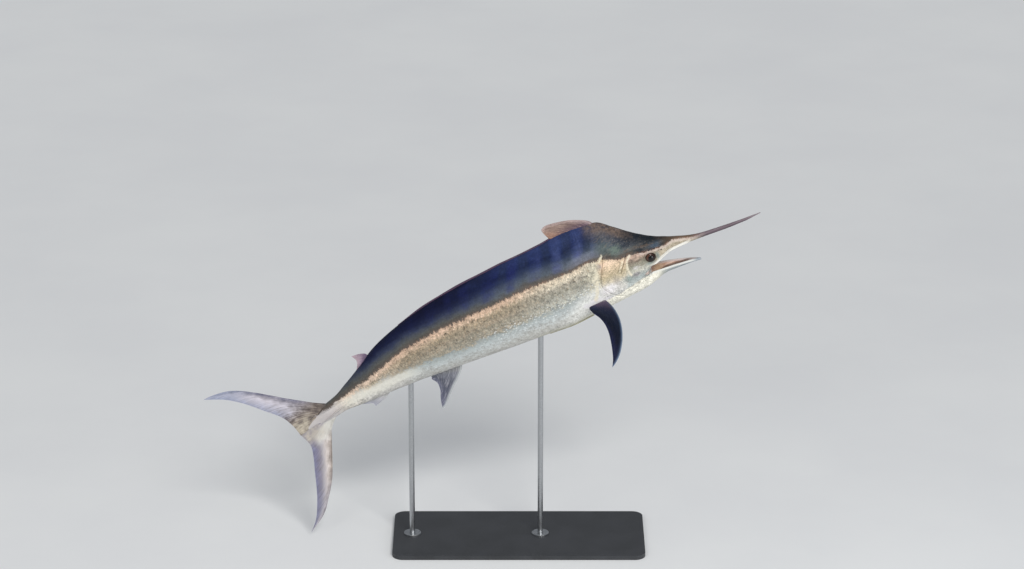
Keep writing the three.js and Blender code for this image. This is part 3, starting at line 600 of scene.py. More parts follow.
# fleshy bases of the pectoral fins
shift += 4.5 * flank * ease_in(np.hypot((s - 1644) / 56, (h + 112) / 34), 1.5, 0.5)

# unevenness of trunk, skin, head, crown and bill, as (where, height, points, size of the lumps, seed)
crown_on = ease_in(over_edge, 6, 30) * between(s, 1700, 1780, 1980, 2120)
turned = skin @ np.array([[0.82, 0, -0.57], [0, 1, 0], [0.57, 0, 0.82]])
bill_on = ease_in(s, 2240, 2330)
for weight, height, points, size, seed in (
    (outside * between(s, 60, 400, 1600, 1800), 1.3, skin, (95, 70, 60), 3),
    (outside * ease_in(s, 2200, 1800), 0.35, skin, (26, 18, 14), 5),
    (outside * between(s, 1740, 1800, 2120, 2230), 0.8, skin, (34, 24, 22), 8),
    (crown_on, 0.45, turned, (46, 9, 6), 11),
    (bill_on, 0.35, skin, (9, 3.4, 3), 13),
    (bill_on, 0.3, skin, (60, 5, 4), 17),
):
    shift += weight * height * lumps(points, size, seed)


def along(points, width):
    """1 on a line of the side view, fading over its width."""
    return side_on * bell(from_line(points, s, h)[0], 0, width)


def strongest(lines=(), spots=()):
    """The largest of (strength, line, width) and (strength, place and size of a spot)."""
    found = [strength * along(points, width) for strength, points, width in lines]
    return np.maximum.reduce(found + [strength * side_on * spot(*where) for strength, *where in spots])


# colour marks of the head
cream = strongest([(1, GILL_BAND, 12), (1, GILL_BAND_TOP, 7), (1, CHEEK_RIDGE, 7), (0.8, PLATE_STRIPE, 4.5)])
brown = strongest([(0.55, PLATE_LINE, 2.4), (0.7, MOUTH_CREASE, 2.4), (0.9, CORNER_LINE, 2.2),
                   (0.6, NAPE_LINE, 5), *[(0.6, streak, 5) for streak in RUST]],
                  [(0.7, 1938, 36, 34, 5), (0.6, 1952, 8, 24, 4), (0.5, 1900, 50, 20, 6)])
mauve = strongest(spots=[(0.9, 1728, 93, 17, 20), (0.9, 1906, -29, 30, 15), (0.5, 1792, -20, 30, 60)])
green = side_on * spot(1846, 140, 34, 30) * ease_in(over_edge, 0, 12)
pale = strongest(spots=[(0.55, 1918, 6, 26, 13), (0.8, 1736, -50, 55, 34), (1, 1600, -98, 34, 17),
                        (1, 1650, -84, 44, 15), (0.9, 1704, -96, 32, 14)])
steel = strongest(spots=[(0.9, 2046, 20, 13, 26), (0.9, 1994, -3, 34, 10), (0.9, 1850, -36, 34, 22)])

# What the material reads: heights over the edges are in decimetres, places in metres
DM = 100
TO_DM = 1 / DM
skin = skin + normal * shift[:, None]
s, w, h = skin.T
skin_piece = mesh_object("marlin_skin", bent(skin), skin_faces)
keep(skin_piece, "lay", skin * MM)
for name, values in {
    "edges": [(h - dark_edge(s)) / DM, (h - low_edge(s)) / DM, (h - belly(s)) / (back(s) - belly(s))],
    "folds": [mouth, np.clip(dark, 0, 1), maxilla],
    "marks": [cream, brown, mauve],
    "jaw": [(h - jaw_rim(s)) / DM, (h - jaw_under(s)) / DM, membrane],
    "tints": [green, pale, steel],
}.items():
    keep(skin_piece, name, np.stack(values, 1))
in_part(
    skin_piece, "flank_skin", "head", "bill", "lower_jaw", "gill_cover_right", "gill_cover_left",
    "trunk_front", "trunk_middle", "trunk_rear", "peduncle", "keel_upper_right", "keel_lower_right",
    "keel_upper_left", "keel_lower_left",
)


# ------------ fins
DORSAL_RAYS, SECOND_RAYS, ANAL_RAYS, TAIL_RAYS, PECTORAL_RAYS = 15, 7, 14, 22, 19
STEPS_TO_RAY = 7
THINNEST = 0.22     # half the thickness at a fin's trailing edge


def line(points):
    """A centripetal curve through a few points, read by its share of the length."""
    p = reaching(points)
    out = []
    for i in range(1, len(p) - 2):
        d0, d1, d2 = (max(math.dist(p[j], p[j + 1]), NEVER_ZERO) ** 0.5 for j in (i - 1, i, i + 1))
        before, here, after = p[i] - p[i - 1], p[i + 1] - p[i], p[i + 2] - p[i + 1]
        a = (before / d0 - (p[i + 1] - p[i - 1]) / (d0 + d1) + here / d1) * d1
        b = (here / d1 - (p[i + 2] - p[i]) / (d1 + d2) + after / d2) * d1
        for t in np.linspace(0, 1, 48, endpoint=False):
            out.append(p[i] * (2 * t**3 - 3 * t**2 + 1) + a * (t**3 - 2 * t**2 + t)
                       + p[i + 1] * (3 * t**2 - 2 * t**3) + b * (t**3 - t**2))
    out = np.array([*out, p[-2]])
    lengths = np.concatenate([[0], np.cumsum(np.linalg.norm(np.diff(out, axis=0), axis=1))])
    return lambda share: np.stack([np.interp(share * lengths[-1], lengths, out[:, k]) for k in (0, 1)], -1)


def packed(count):
    """Even steps from 0 to 1 with a few closer ones at both ends, where the edges are rounded."""
    inner = np.linspace(0, 1, count)
    ends = inner[1] * np.array([0.04, 0.12, 0.26, 0.5, 0.75])
    return np.sort(np.concatenate([inner, ends, 1 - ends]))


def on_middle(x, y, raised):
    return bent(np.stack([x, raised, y], 1))


def tapered(tip, root, lead_rim=0.0, thinning=0.5):
    """Half the thickness of a fin: thin at its tip and towards its trailing edge."""
    return lambda u, v: (tip + root * (1 - v) * (1 - thinning * u)
                         + lead_rim * np.minimum(u * 12, 1) * (1 - u))


def fin_piece(name, slot, node, rays, rows, root, lead, last, free, thick,
              foot=None, place=on_middle, ridge=1.0, notch=0.0, wave=0.0):
    """A fin with branching rays, a rounded leading edge and a thin trailing one. The lead and the last
    ray start at the ends of the root, and the free edge runs between their tips."""
    lead, last = [root[0], *lead], [root[-1], *last]
    free = [lead[-1], *free, last[-1]]
    root_at, lead_at, last_at, free_at = line(root), line(lead), line(last), line(free)
    u, v = np.meshgrid(packed(rays * STEPS_TO_RAY + 1), packed(rows), indexing="ij")
    comb = 0.5 + 0.5 * np.cos(2 * np.pi * (rays * u - 0.5))
    split = 0.5 + 0.5 * np.cos(4 * np.pi * (rays * u - 0.5) + np.pi)
    forked = ease_in(v, 0.45, 0.7)
    bone = comb**1.4 * (1 - forked) + split**1.2 * forked
    v_cut = v * (1 - notch * (1 - bone) * ease_in(v, 0.8, 1.0))
    U, V = u[..., None], v_cut[..., None]
    flat = (1 - U) * lead_at(v_cut) + U * last_at(v_cut) + (1 - V) * root_at(u) + V * free_at(u)
    flat -= (1 - V) * ((1 - U) * root_at(0.0) + U * root_at(1.0))
    flat -= V * ((1 - U) * free_at(0.0) + U * free_at(1.0))
    x, y = flat[..., 0], flat[..., 1]
    from_lead = from_line(flat[0][:: max(1, flat.shape[1] // 60)], x, y)[0]
    from_trail = np.minimum(from_line(last_at(np.linspace(0, 1, 60)), x, y)[0],
                            from_line(flat[:, -1], x, y)[0])
    body = thick(u, v) + (foot(x, y) if foot else 0)
    roll = np.clip(from_lead / (1.3 * body), 0, 1)
    body = body * np.sqrt(1 - (1 - roll) ** 2) * np.clip(from_trail / 14, 0, 1) ** 0.55
    body = np.maximum(body, THINNEST)
    body = body + ridge * bone * (1 - 0.65 * v) * ease_in(from_lead, 2, 9) * ease_in(from_trail, 0.5, 9)
    seam = (u == 0) | (u == 1) | (v == 0) | (v == 1)
    body[seam] = 0
    sway = wave * np.sin(2.6 * np.pi * v + 3.5 * u) * v

    # two sheets that share the vertices of the seam
    grid = np.arange(u.size).reshape(u.shape)
    other = grid.copy()
    other[~seam] = u.size + np.arange((~seam).sum())
    top = place(x.ravel(), y.ravel(), (sway + body).ravel())
    low = place(x.ravel(), y.ravel(), (sway - body).ravel())[~seam.ravel()]
    faces = []
    for index, order in ((grid, 1), (other, -1)):
        quad = [index[:-1, :-1], index[1:, :-1], index[1:, 1:], index[:-1, 1:]][::order]
        faces.append(np.stack([q.ravel() for q in quad], 1))
    faces = np.concatenate(faces)
    points = np.concatenate([top, low])
    p = points[faces] - points.mean(0)
    if np.einsum("ij,ij->i", p[:, 0], np.cross(p[:, 1], p[:, 2])).sum() < 0:
        faces = faces[:, ::-1]
    made = mesh_object(name, points, faces)
    for attribute, values in {
        "lay": [u, v, np.ones_like(u)],
        "place": [x * MM, y * MM, np.zeros_like(x)],
        "rims": [from_lead * TO_DM, from_trail * TO_DM, bone],
    }.items():
        values = np.stack(values, -1).reshape(u.size, 3)
        keep(made, attribute, np.concatenate([values, values[~seam.ravel()]]))
    in_part(made, slot, node)
    return made


def fleshy_foot(high, reach, over):
    """What swells a middle-line fin where it leaves the back, or the belly where over is -1."""
    body = back if over > 0 else belly
    return lambda x, y: high * np.exp(-np.maximum(over * (y - body(x)), 0) / reach)


SECOND_FORM = {"thick": tapered(0.5, 2.6, thinning=0.4), "ridge": 0.6, "notch": 0.02}
dorsal_lobe = fin_piece(
    "dorsal_lobe", "dorsal_fin", "first_dorsal_lobe", DORSAL_RAYS, 70,
    root=[(1774, 285), (1650, 292), (1530, 280)],
    lead=[(1768, 311), (1680, 356), (1600, 374), (1528, 377), (1500, 362)],
    last=[(1524, 300), (1516, 322)],
    free=[(1506, 342)],
    thick=tapered(0.6, 3.6, 1.6), foot=fleshy_foot(4.5, 9, 1), notch=0.02, wave=2.0,
)
second_dorsal = fin_piece(
    "second_dorsal", "dorsal_fin", "second_dorsal_fin", SECOND_RAYS, 50,
    root=[(374, 130), (330, 112), (282, 92)],
    lead=[(370, 152), (340, 172), (298, 185)],
    last=[(268, 92), (252, 86)],
    free=[(306, 146), (280, 108)],
    foot=fleshy_foot(3, 6, 1), **SECOND_FORM,
)
anal_fin = fin_piece(
    "anal_fin", "anal_fin", "first_anal_fin", ANAL_RAYS, 90,
    root=[(796, -158), (700, -148), (600, -136)],
    lead=[(786, -186), (738, -229), (672, -275), (620, -314), (586, -341), (552, -352)],
    last=[(604, -152), (598, -166)],
    free=[(578, -292), (606, -244), (614, -200)],
    thick=tapered(0.6, 4.2, 1.4), foot=fleshy_foot(5, 9, -1), ridge=0.9, notch=0.012, wave=2.5,
)
second_anal = fin_piece(
    "second_anal", "pale_skin", "second_anal_fin", SECOND_RAYS, 50,
    root=[(360, -92), (290, -84), (206, -66)],
    lead=[(352, -108), (300, -124), (236, -131)],
    last=[(186, -70), (166, -70)],
    free=[(234, -110), (206, -92)],
    foot=fleshy_foot(3, 6, -1), **SECOND_FORM,
)


def lobe_thickness(u, v):
    return 0.7 + 8.3 * (1 - v) ** 1.5 + 2.2 * np.exp(-8 * u) * (1 - v * 0.7)


FORK = (-206, -8)
tail_upper = fin_piece(
    "tail_upper", "tail_fin", "caudal_upper_lobe", TAIL_RAYS, 120,
    root=[(22, 50), (20, 28), (20, -5)],
    lead=[(-30, 101), (-66, 143), (-138, 228), (-208, 316), (-280, 399), (-344, 450), (-434, 487),
          (-482, 498)],
    last=[(-90, -6), FORK],
    free=[(-388, 420), (-326, 341), (-268, 240), (-214, 137), (-202, 60)],
    thick=lobe_thickness, wave=3.0,
)
tail_lower = fin_piece(
    "tail_lower", "tail_fin", "caudal_lower_lobe", TAIL_RAYS, 120,
    root=[(22, -45), (20, -28), (20, -5)],
    lead=[(-44, -83), (-104, -147), (-160, -214), (-216, -280), (-276, -344), (-340, -395),
          (-416, -447), (-544, -487)],
    last=[(-90, -6), FORK],
    free=[(-474, -444), (-392, -360), (-338, -290), (-286, -217), (-236, -147), (-206, -90)],
    thick=lobe_thickness, wave=-3.0,
)

PECTORAL_ROOT = (1643, 112, -116)
PECTORAL_CLIMB, PECTORAL_DROOP, PECTORAL_FORWARD = math.radians(21), math.radians(29), 0.2
CURL, CURL_FROM = 0.0004, 220


def pectoral(side, word):
    chord = np.array([math.cos(PECTORAL_CLIMB), 0, math.sin(PECTORAL_CLIMB)])
    spread = math.sqrt(1 - PECTORAL_FORWARD**2)
    reach = np.array([PECTORAL_FORWARD, side * math.cos(PECTORAL_DROOP) * spread,
                      -math.sin(PECTORAL_DROOP) * spread])
    across = np.cross(chord, reach)
    across /= np.linalg.norm(across)
    origin = bent(np.array([PECTORAL_ROOT]) * (1, side, 1))[0]

    def placed(x, y, raised):
        curl = np.outer(CURL * np.maximum(x - CURL_FROM, 0) ** 2, [0, -side, -math.tan(ELEVATION)])
        return origin + (np.outer(x, reach) + np.outer(y, chord) + np.outer(raised, across) + curl) * MM

    return fin_piece(
        "pectoral_" + word, "pectoral_fin", "pectoral_fin_" + word, PECTORAL_RAYS, 110,
        root=[(-30, 44), (-26, 0), (-16, -46)],
        lead=[(0, 62), (54, 84), (110, 96), (160, 99), (214, 95), (274, 83), (330, 65), (380, 42),
              (420, 13), (444, -14)],
        last=[(10, -44), (40, -33)],
        free=[(400, 0), (350, 9), (271, 17), (200, 19), (135, 11), (85, -6)],
        thick=tapered(0.6, 5.2, 1.8), foot=lambda x, y: 4.5 * np.exp(-np.maximum(x + 6, 0) / 14),
        place=placed, ridge=0.9, wave=-2.5,
    )


pectorals = [pectoral(side, word) for side, word in SIDES]

FOLD_REAR, FOLD_FRONT = 600, 1524
FOLD_COUNT, PELVIC_COUNT = 56, 40       # points around a ring


def fold_ring(s):
    """The folded rear of the first dorsal: a low ridge of rays laid on each other."""
    turn = circle(FOLD_COUNT)
    near = ease_in(s, FOLD_REAR, 760)
    rise = (2 + 5.5 * near) * (0.9 + 0.1 * math.sin(s / 37.0) * near)
    half = (3.0 + near) * (1 + 0.07 * np.cos(8 * turn + s / 60.0))
    up = np.cos(turn)
    h = back(s) - 4 + np.where(up > 0, rise + 4, 8) * up * (1 + 0.03 * np.cos(10 * turn))
    return ring(s, half * np.sin(turn), h)


def pelvic_ring(s, side):
    turn = circle(PELVIC_COUNT)
    share = pelvic_share(s)
    up = np.cos(turn)
    half = (1.2 + 6.8 * share**0.7) * (1 + 0.05 * np.cos(9 * turn))
    h = belly(s) + 2 + np.where(up > 0, 4, 3.4 + 1.5 * share) * up
    return ring(s, side * pelvic_middle(s) + half * np.sin(turn), h)


def strap(name, slot, node, rings):
    """A fin folded down along the body."""
    rows, count = len(rings), len(rings[0])
    points, faces = loft(rings)
    made = mesh_object(name, bent(points), faces)
    lengthwise = np.repeat(np.linspace(0, 1, rows), count)
    around = np.tile(np.linspace(0, 1, count, endpoint=False), rows)
    lay = np.stack([around, lengthwise, np.ones_like(around)], 1)
    keep(made, "lay", np.concatenate([lay, [[0, 0, 1], [0, 1, 1]]]))
    keep(made, "place", points * MM)
    in_part(made, slot, node)
    return made


dorsal_fold = strap("dorsal_fold", "back_skin", "first_dorsal_fold",
                    [fold_ring(s) for s in np.linspace(FOLD_REAR, FOLD_FRONT, 230)])
pelvics = [strap("pelvic_" + word, "pale_skin", "pelvic_fin_" + word,
                 [pelvic_ring(s, side) for s in np.linspace(PELVIC_REAR, PELVIC_FRONT, 90)])
           for side, word in SIDES]

# ------------ eyes
BALL_AT = (2003, 54.4, 24.5)
BALL_RADIUS, BALL_DEPTH, CORNEA = 35, 21, 1.6
BALL_AHEAD, BALL_UP = math.radians(13), math.radians(5)
BALL_COUNT = 96     # points around a ring


def eye_piece(side, word):
    """An eyeball with a raised cornea, its round side turned out and a little forwards."""
    polar = np.concatenate([np.linspace(0, 0.5, 30), np.linspace(0.52, 2.2, 46)])
    a, b = np.meshgrid(polar, circle(BALL_COUNT), indexing="ij")
    r = BALL_RADIUS * np.sin(np.minimum(a, math.pi / 2)) * np.where(a > math.pi / 2, np.sin(a), 1)
    out = BALL_DEPTH * np.cos(a) + CORNEA * ease_in(r, 19, 12) * (a < 1.2)
    x, z = r * np.cos(b), 0.9 * r * np.sin(b)
    rise = z * math.cos(BALL_UP) + out * math.sin(BALL_UP)
    out = out * math.cos(BALL_UP) - z * math.sin(BALL_UP)
    fore = x * math.cos(BALL_AHEAD) + out * math.sin(BALL_AHEAD)
    out = -x * math.sin(BALL_AHEAD) + out * math.cos(BALL_AHEAD)
    rings = np.stack([BALL_AT[0] + fore, side * (BALL_AT[1] + out), BALL_AT[2] + rise], -1)
    points, faces = loft(rings[1:])
    points[-2] = rings[0].mean(0)       # the middle of the cornea
    made = mesh_object("marlin_eye_" + word, bent(points), faces[:, ::-side])
    disc = np.stack([x, z, r], -1)[1:].reshape(-1, 3)
    keep(made, "disc", np.concatenate([disc, [[0, 0, 0]], [[0, 0, 28]]]) / BALL_RADIUS)
    in_part(made, "eye", "eye_" + word)
    return made


eyes = [eye_piece(side, word) for side, word in SIDES]


# ------------ materials
def tint(code):
    """A colour from its sRGB code, as the linear values that Blender mixes."""
    parts = [int(code[i:i + 2], 16) / 255 for i in (1, 3, 5)]
    return tuple(c / 12.92 if c <= 0.04045 else ((c + 0.055) / 1.055) ** 2.4 for c in parts) + (1.0,)


class Value:
    """A node's output. Sums and products of values and numbers are nodes too."""

    def __init__(self, paint, socket):
        self.paint, self.socket = paint, socket

    def __add__(self, other):
        return self.paint.math("ADD", self, other)

    def __mul__(self, other):
        return self.paint.math("MULTIPLY", self, other)

    def __sub__(self, other):
        return self.paint.math("SUBTRACT", self, other)

    def __rsub__(self, number):
        return self.paint.math("SUBTRACT", number, self)

    def __truediv__(self, other):
        return self.paint.math("DIVIDE", self, other)

    def ease(self, a, b, low=0.0, high=1.0):
        """low before a and high past b; a may be the larger."""
        if a > b:
            a, b, low, high = b, a, high, low
        return self.paint.node("MapRange", {0: self, 1: a, 2: b, 3: low, 4: high},
                               interpolation_type="SMOOTHSTEP")

    def between(self, a, b, c, d):
        """0 before a, 1 from b to c, 0 past d."""
        return self.ease(a, b) * self.ease(d, c)

    def split(self):
        sockets = self.paint.made("SeparateXYZ", {0: self}).outputs
        return [Value(self.paint, socket) for socket in sockets]

    def stretched(self, scale):
        return self.paint.node("VectorMath", {0: self, 1: scale}, operation="MULTIPLY")

    def noise(self, scale, detail=3.0, rough=0.55, twist=0.0):
        """Noise centred on zero, about -1 to 1, with its own scale along each axis."""
        raw = self.paint.node("TexNoise", {"Vector": self.stretched(scale), "Scale": 1.0, "Detail": detail,
                                           "Roughness": rough, "Distortion": twist})
        return self.paint.node("MapRange", {0: raw, 1: 0.25, 2: 0.75, 3: -1.0, 4: 1.0}, clamp=False)

    def cells(self, scale, output="Distance"):
        return self.paint.node("TexVoronoi", {"Vector": self.stretched(scale), "Scale": 1.0}, output)

    def mixed(self, a, b):
        """Colour a where this is 0, and b where it is 1."""
        return self.paint.mix(self, a, b)

    def ramp(self, *stops, low=0.0, high=1.0):
        """Colours at places between low and high."""
        made = self.paint.made("ValToRGB", {0: self.paint.node("MapRange", {0: self, 1: low, 2: high})})
        points = made.color_ramp.elements
        while len(points) < len(stops):
            points.new(0.5)
        for point, (at, code) in zip(points, stops):
            point.position = (at - low) / (high - low)
            point.color = tint(code)
        return Value(self.paint, made.outputs[0])

    def under(self, other, share):
        """This colour with another laid over it as far as the share says."""
        return self.paint.mix(share, self, other)

    def brighter(self, factor):
        """This colour times a number near 1 that varies over the surface."""
        grey = self.paint.node("CombineXYZ", {0: factor, 1: factor, 2: factor})
        return self.paint.mix(1.0, self, grey, "MULTIPLY")


class Paint:
    """A node material: its Principled shader with constants on its own sockets."""

    def __init__(self, name, **constants):
        self.material = bpy.data.materials.new(name)
        self.material.use_nodes = True
        self.tree = self.material.node_tree
        self.tree.nodes.clear()
        self.shader = self.tree.nodes.new("ShaderNodeBsdfPrincipled")
        out = self.tree.nodes.new("ShaderNodeOutputMaterial")
        self.tree.links.new(self.shader.outputs[0], out.inputs[0])
        for socket, value in constants.items():
            self.shader.inputs[socket.replace("_", " ")].default_value = value

    def put(self, socket, value):
        if isinstance(value, Value):
            self.tree.links.new(value.socket, socket)
        else:
            socket.default_value = value

    def made(self, kind, inputs=(), **settings):
        made = self.tree.nodes.new("ShaderNode" + kind)
        for key, value in settings.items():
            setattr(made, key, value)
        for key, value in dict(inputs).items():
            self.put(made.inputs[key], value)
        return made

    def node(self, kind, inputs=(), output=0, **settings):
        return Value(self, self.made(kind, inputs, **settings).outputs[output])

    def math(self, operation, a, b=0.0):
        return self.node("Math", {0: a, 1: b}, operation=operation)

    def mix(self, share, a, b, kind="MIX"):
        a, b = (tint(colour) if isinstance(colour, str) else colour for colour in (a, b))
        return self.node("Mix", {0: share, 6: a, 7: b}, 2, data_type="RGBA", blend_type=kind,
                         clamp_factor=True)

    def kept(self, name):
        """What keep() stored on the piece."""
        return self.node("Attribute", (), "Vector", attribute_name=name, attribute_type="GEOMETRY")

    def place_on_object(self):
        return self.node("TexCoord", (), "Object")

    def finished(self, colour, roughness, *bumps):
        """The material, with bumps of (height, distance in metres) one over the other."""
        self.put(self.shader.inputs["Base Color"], colour)
        self.put(self.shader.inputs["Roughness"], roughness)
        normal = {}
        for height, distance in bumps:
            raised = self.node("Bump", {"Height": height, "Distance": distance, "Strength": 1.0, **normal})
            normal = {"Normal": raised}
            self.put(self.shader.inputs["Normal"], raised)
        return self.material


def skin_paint():
    p = Paint("marlin_skin_paint", Specular_IOR_Level=0.17, Coat_Weight=0.035, Coat_Roughness=0.15)
    lay = p.kept("lay")
    s, _, h = lay.split()
    above, over_low, level = p.kept("edges").split()
    mouth, dark, maxilla = p.kept("folds").split()
    cream, brown, mauve = p.kept("marks").split()
    green, bright, steel = p.kept("tints").split()
    below_rim, over_floor, membrane = p.kept("jaw").split()

    # grain: combed across the flank, with flecks and a fine grit
    teeth = lay.noise((64, 17, 17), 4.0, 0.8, 0.6)
    comb = lay.noise((105, 62, 62), 3.0, 0.75, 0.8)
    fine = lay.noise((150, 130, 130), 3.0, 0.8)
    cloud = lay.noise((9, 14, 14), 3.0)
    blotch = lay.noise((42, 52, 52), 4.0, 0.7)
    flecks = lay.cells((105, 95, 95), "Color").split()[0]
    mid = lay.noise((34, 48, 48), 4.0, 0.65)
    grit = lay.noise((125, 130, 130), 3.0, 0.75)
    streaks = lay.noise((14, 70, 70), 4.0, 0.6)
    tilted = p.node("VectorRotate", {"Vector": lay, "Axis": (0, 1, 0), "Angle": 0.42},
                    rotation_type="AXIS_ANGLE")
    wisps = tilted.noise((26, 110, 110), 4.0, 0.7)

    # the back: grey at its lower edge, partly a painted broad sheen, navy on top, bluer on the shoulder with
    # a painted sheen at its very top, brown-black on the head
    jag = (teeth * 0.16 + comb * 0.09) * s.ease(1.75, 1.95, 1.0, 0.35) * s.ease(0.0, 0.3, 0.45, 1.0)
    edge = above + jag + fine * 0.03
    depth = above + cloud * 0.10 + teeth * 0.05 + comb * 0.04
    rear_back = depth.ramp(
        (0, "#57504b"), (0.08, "#504c48"), (0.18, "#4f504e"), (0.3, "#464a50"), (0.5, "#2f364c"),
        (0.75, "#131936"), (1.0, "#090e2c"), (1.5, "#050720"), high=1.8)
    shoulder = depth.ramp(
        (0, "#5c5550"), (0.1, "#565350"), (0.2, "#535456"), (0.34, "#555d66"), (0.52, "#4b5567"),
        (0.78, "#293555"), (1.05, "#101d45"), (1.6, "#2c3964"), high=1.8)
    crown = depth.ramp(
        (0, "#5b524c"), (0.12, "#504d48"), (0.3, "#4c5454"), (0.5, "#505c5d"), (0.75, "#434e55"),
        (1.0, "#313945"), (1.3, "#45464e"), (1.6, "#403f48"), high=1.8)
    top = (s + cloud * 0.1).ease(0.8, 1.4).mixed(rear_back, shoulder)

    # bars across the back, and what is dark between them
    bars = s * 8.6 + h * -3.2 + lay.noise((3.2, 2.2, 2.2), 1.0, 0.4) * 0.35
    bars = p.math("SINE", bars * (2 * math.pi))
    bars_on = s.between(0.4, 1.45, 1.70, 1.80) * above.ease(0.10, 0.32) * above.ease(1.5, 1.0, 0.45, 1.0)
    bar_tint = s.ease(1.25, 1.6).mixed("#1c2258", h.ease(0.15, 0.24).mixed("#4f5486", "#46537f"))
    bars_on = bars_on * bars.ease(-0.6, 1.0) * (cloud + blotch * 0.3).ease(-0.7, 0.7, 0.15, 0.6)
    top = top.under(bar_tint, bars_on)
    top = top.under("#232c35", bars.ease(0.2, -0.9) * s.ease(0.9, 1.5) * above.ease(0.15, 0.5) * 0.35)
    # painted sheen: a lavender grey over the lower back in front, partly its own colour
    low_front_grey_and_sheen = s.between(1.50, 1.64, 1.74, 1.80) * above.between(0.04, 0.16, 0.35, 0.6)
    top = top.under("#7c8192", low_front_grey_and_sheen * 0.45)

    # the crown, the dark snout, wisps, the ridge of the nape with its glints, and a blue patch
    crown = crown.under("#101d33", s.ease(1.80, 1.91) * depth.ease(0.25, 0.5) * 0.88)
    top = top.under(crown, s.ease(1.68, 1.80))
    snout = s.ramp((1.95, "#0e1822"), (2.05, "#12191f"), (2.12, "#41372f"), (2.2, "#6b5b4e"),
                   low=1.9, high=2.25)
    top = top.under(snout, (s + cloud * 0.04 + above * 0.05).ease(1.87, 1.99) * 0.92)
    nape_on = s.between(1.70, 1.80, 2.02, 2.16)
    top = top.under("#6d6359", wisps.ease(0.05, 0.6) * nape_on * s.ease(1.86, 1.94, 0.5, 0.3))
    top = top.under("#23262a", wisps.ease(-0.1, -0.6) * nape_on * 0.45)
    ridge_on = level.ease(0.86, 0.97) * s.between(1.68, 1.77, 1.86, 1.98)
    top = top.under("#7d6b5f", ridge_on * blotch.ease(-0.5, 0.4, 0.2, 0.75))
    glints = lay.cells((60, 95, 95)).ease(0.22, 0.1) * level.ease(0.9, 0.97)
    top = top.under("#8e93a4", glints * s.between(1.76, 1.82, 1.88, 1.95) * 0.5)
    blue_on = s.between(2.0, 2.04, 2.06, 2.10) * above.between(-0.02, 0.06, 0.2, 0.4)
    top = top.under("#2a465f", blue_on * blotch.ease(-0.8, 0.4, 0.2, 0.6))
    top = top.brighter(streaks * 0.15 + 1.0 + comb * 0.25 + fine * 0.2)
    green_on = (green * (mid * 0.8 + 1.0 + wisps * 0.6)).ease(0.1, 1.1)
    top = top.under("#64756a", green_on * 0.6)

    # the flank: peach stripe, olive bronze below it, cream towards the gills, pale towards the tail
    down = above + cloud * 0.05 + teeth * 0.05 + comb * 0.08 + blotch * 0.10
    stripe = down.ramp(
        (-1.15, "#928d80"), (-0.85, "#8e8576"), (-0.6, "#8c8271"), (-0.42, "#9d8e7a"), (-0.3, "#b49f8b"),
        (-0.18, "#bfa590"), (-0.06, "#c0a692"), (0.0, "#a58f7d"), low=-1.2, high=0.05)
    at_front = s + cloud * 0.03 + comb * 0.02
    front = down.ramp(
        (-1.4, "#a8a9a0"), (-1.1, "#9c9b92"), (-0.85, "#969488"), (-0.6, "#9c978b"), (-0.4, "#bab2a1"),
        (-0.25, "#cabeaa"), (-0.08, "#cbbda9"), (0.0, "#a99884"), low=-1.5, high=0.05)
    flank = at_front.ease(1.15, 1.5).mixed(stripe, front)
    flank = flank.under("#c2bdaa", (at_front + blotch * 0.03).ease(1.60, 1.70) * down.ease(0.0, -0.25) * 0.8)
    pale_rear = (s + cloud * 0.03).ease(0.55, 0.25) * down.ease(-0.3, -0.75, 0.25, 0.9)
    flank = flank.under("#cfcbc0", pale_rear)
    lanes = lay.noise((3.5, 42, 42), 4.0, 0.62, 0.3)
    lanes_on = s.ease(1.45, 1.0) * down.ease(-0.12, -0.35)
    flank = flank.under("#82806b", lanes.ease(0.0, 0.8) * lanes_on * 0.45)
    flank = flank.under("#bda992", lanes.ease(-0.1, -0.8) * lanes_on * 0.4)
    flank = flank.brighter(flecks * 0.28 + 0.83 + comb * 0.45 + fine * 0.40 + blotch * 0.42 + cloud * 0.12)
    flank = flank.under("#d8b184", lay.noise((150, 60, 60), 2.0, 0.6).ease(0.25, 0.6) * 0.16)

    # the belly: blue-grey under an uneven edge, paler below and in front
    under_edge = over_low + blotch * 0.30 + comb * 0.16 + cloud * 0.14 + fine * 0.08
    pale = under_edge.ramp((-1.1, "#c9c8c2"), (-0.75, "#bfc1be"), (-0.42, "#bac0c0"), (-0.15, "#a6aeae"),
                           (0.0, "#9aa1a0"), (0.1, "#8c908d"), low=-1.2, high=0.15)
    pale = pale.under("#dcdcd7", (at_front + blotch * 0.04 + under_edge * -0.12).ease(1.5, 1.66) * 0.8)
    pale = pale.under("#c9c6c0", (s + cloud * 0.04).ease(0.62, 0.4) * 0.8)
    pale = pale.brighter(flecks * 0.12 + 0.90 + blotch * 0.34 + comb * 0.22 + fine * 0.26 + cloud * 0.12)
    pale = pale.under("#b9b48f", level.ease(0.10, 0.02) * s.between(1.2, 1.35, 1.66, 1.75) * 0.5)
    side = (under_edge.ease(0.16, -0.12) * s.ease(0.05, 0.30)).mixed(flank, pale)
    # painted sparkle: small white glints on the scales along the belly's upper edge
    painted_sparkle = lay.cells((58, 92, 92)).ease(0.42, 0.2) * under_edge.between(-0.7, -0.1, 0.1, 0.5)
    side = side.under("#e6e8e6", painted_sparkle * s.ease(0.8, 1.2) * grit.ease(-0.6, 0.1) * 0.75)
    lower_rear = above + s * 2.5 + blotch * 0.08 + comb * 0.05
    lower_rear = lower_rear.between(-0.45, -0.15, 0.05, 0.35) * s.ease(0.64, 0.5)
    side = side.under("#e2e0d5", lower_rear * 0.6)
    side = side.under("#bab6b7", (s + cloud * 0.02 + comb * 0.01).ease(0.16, 0.02) * 0.9)

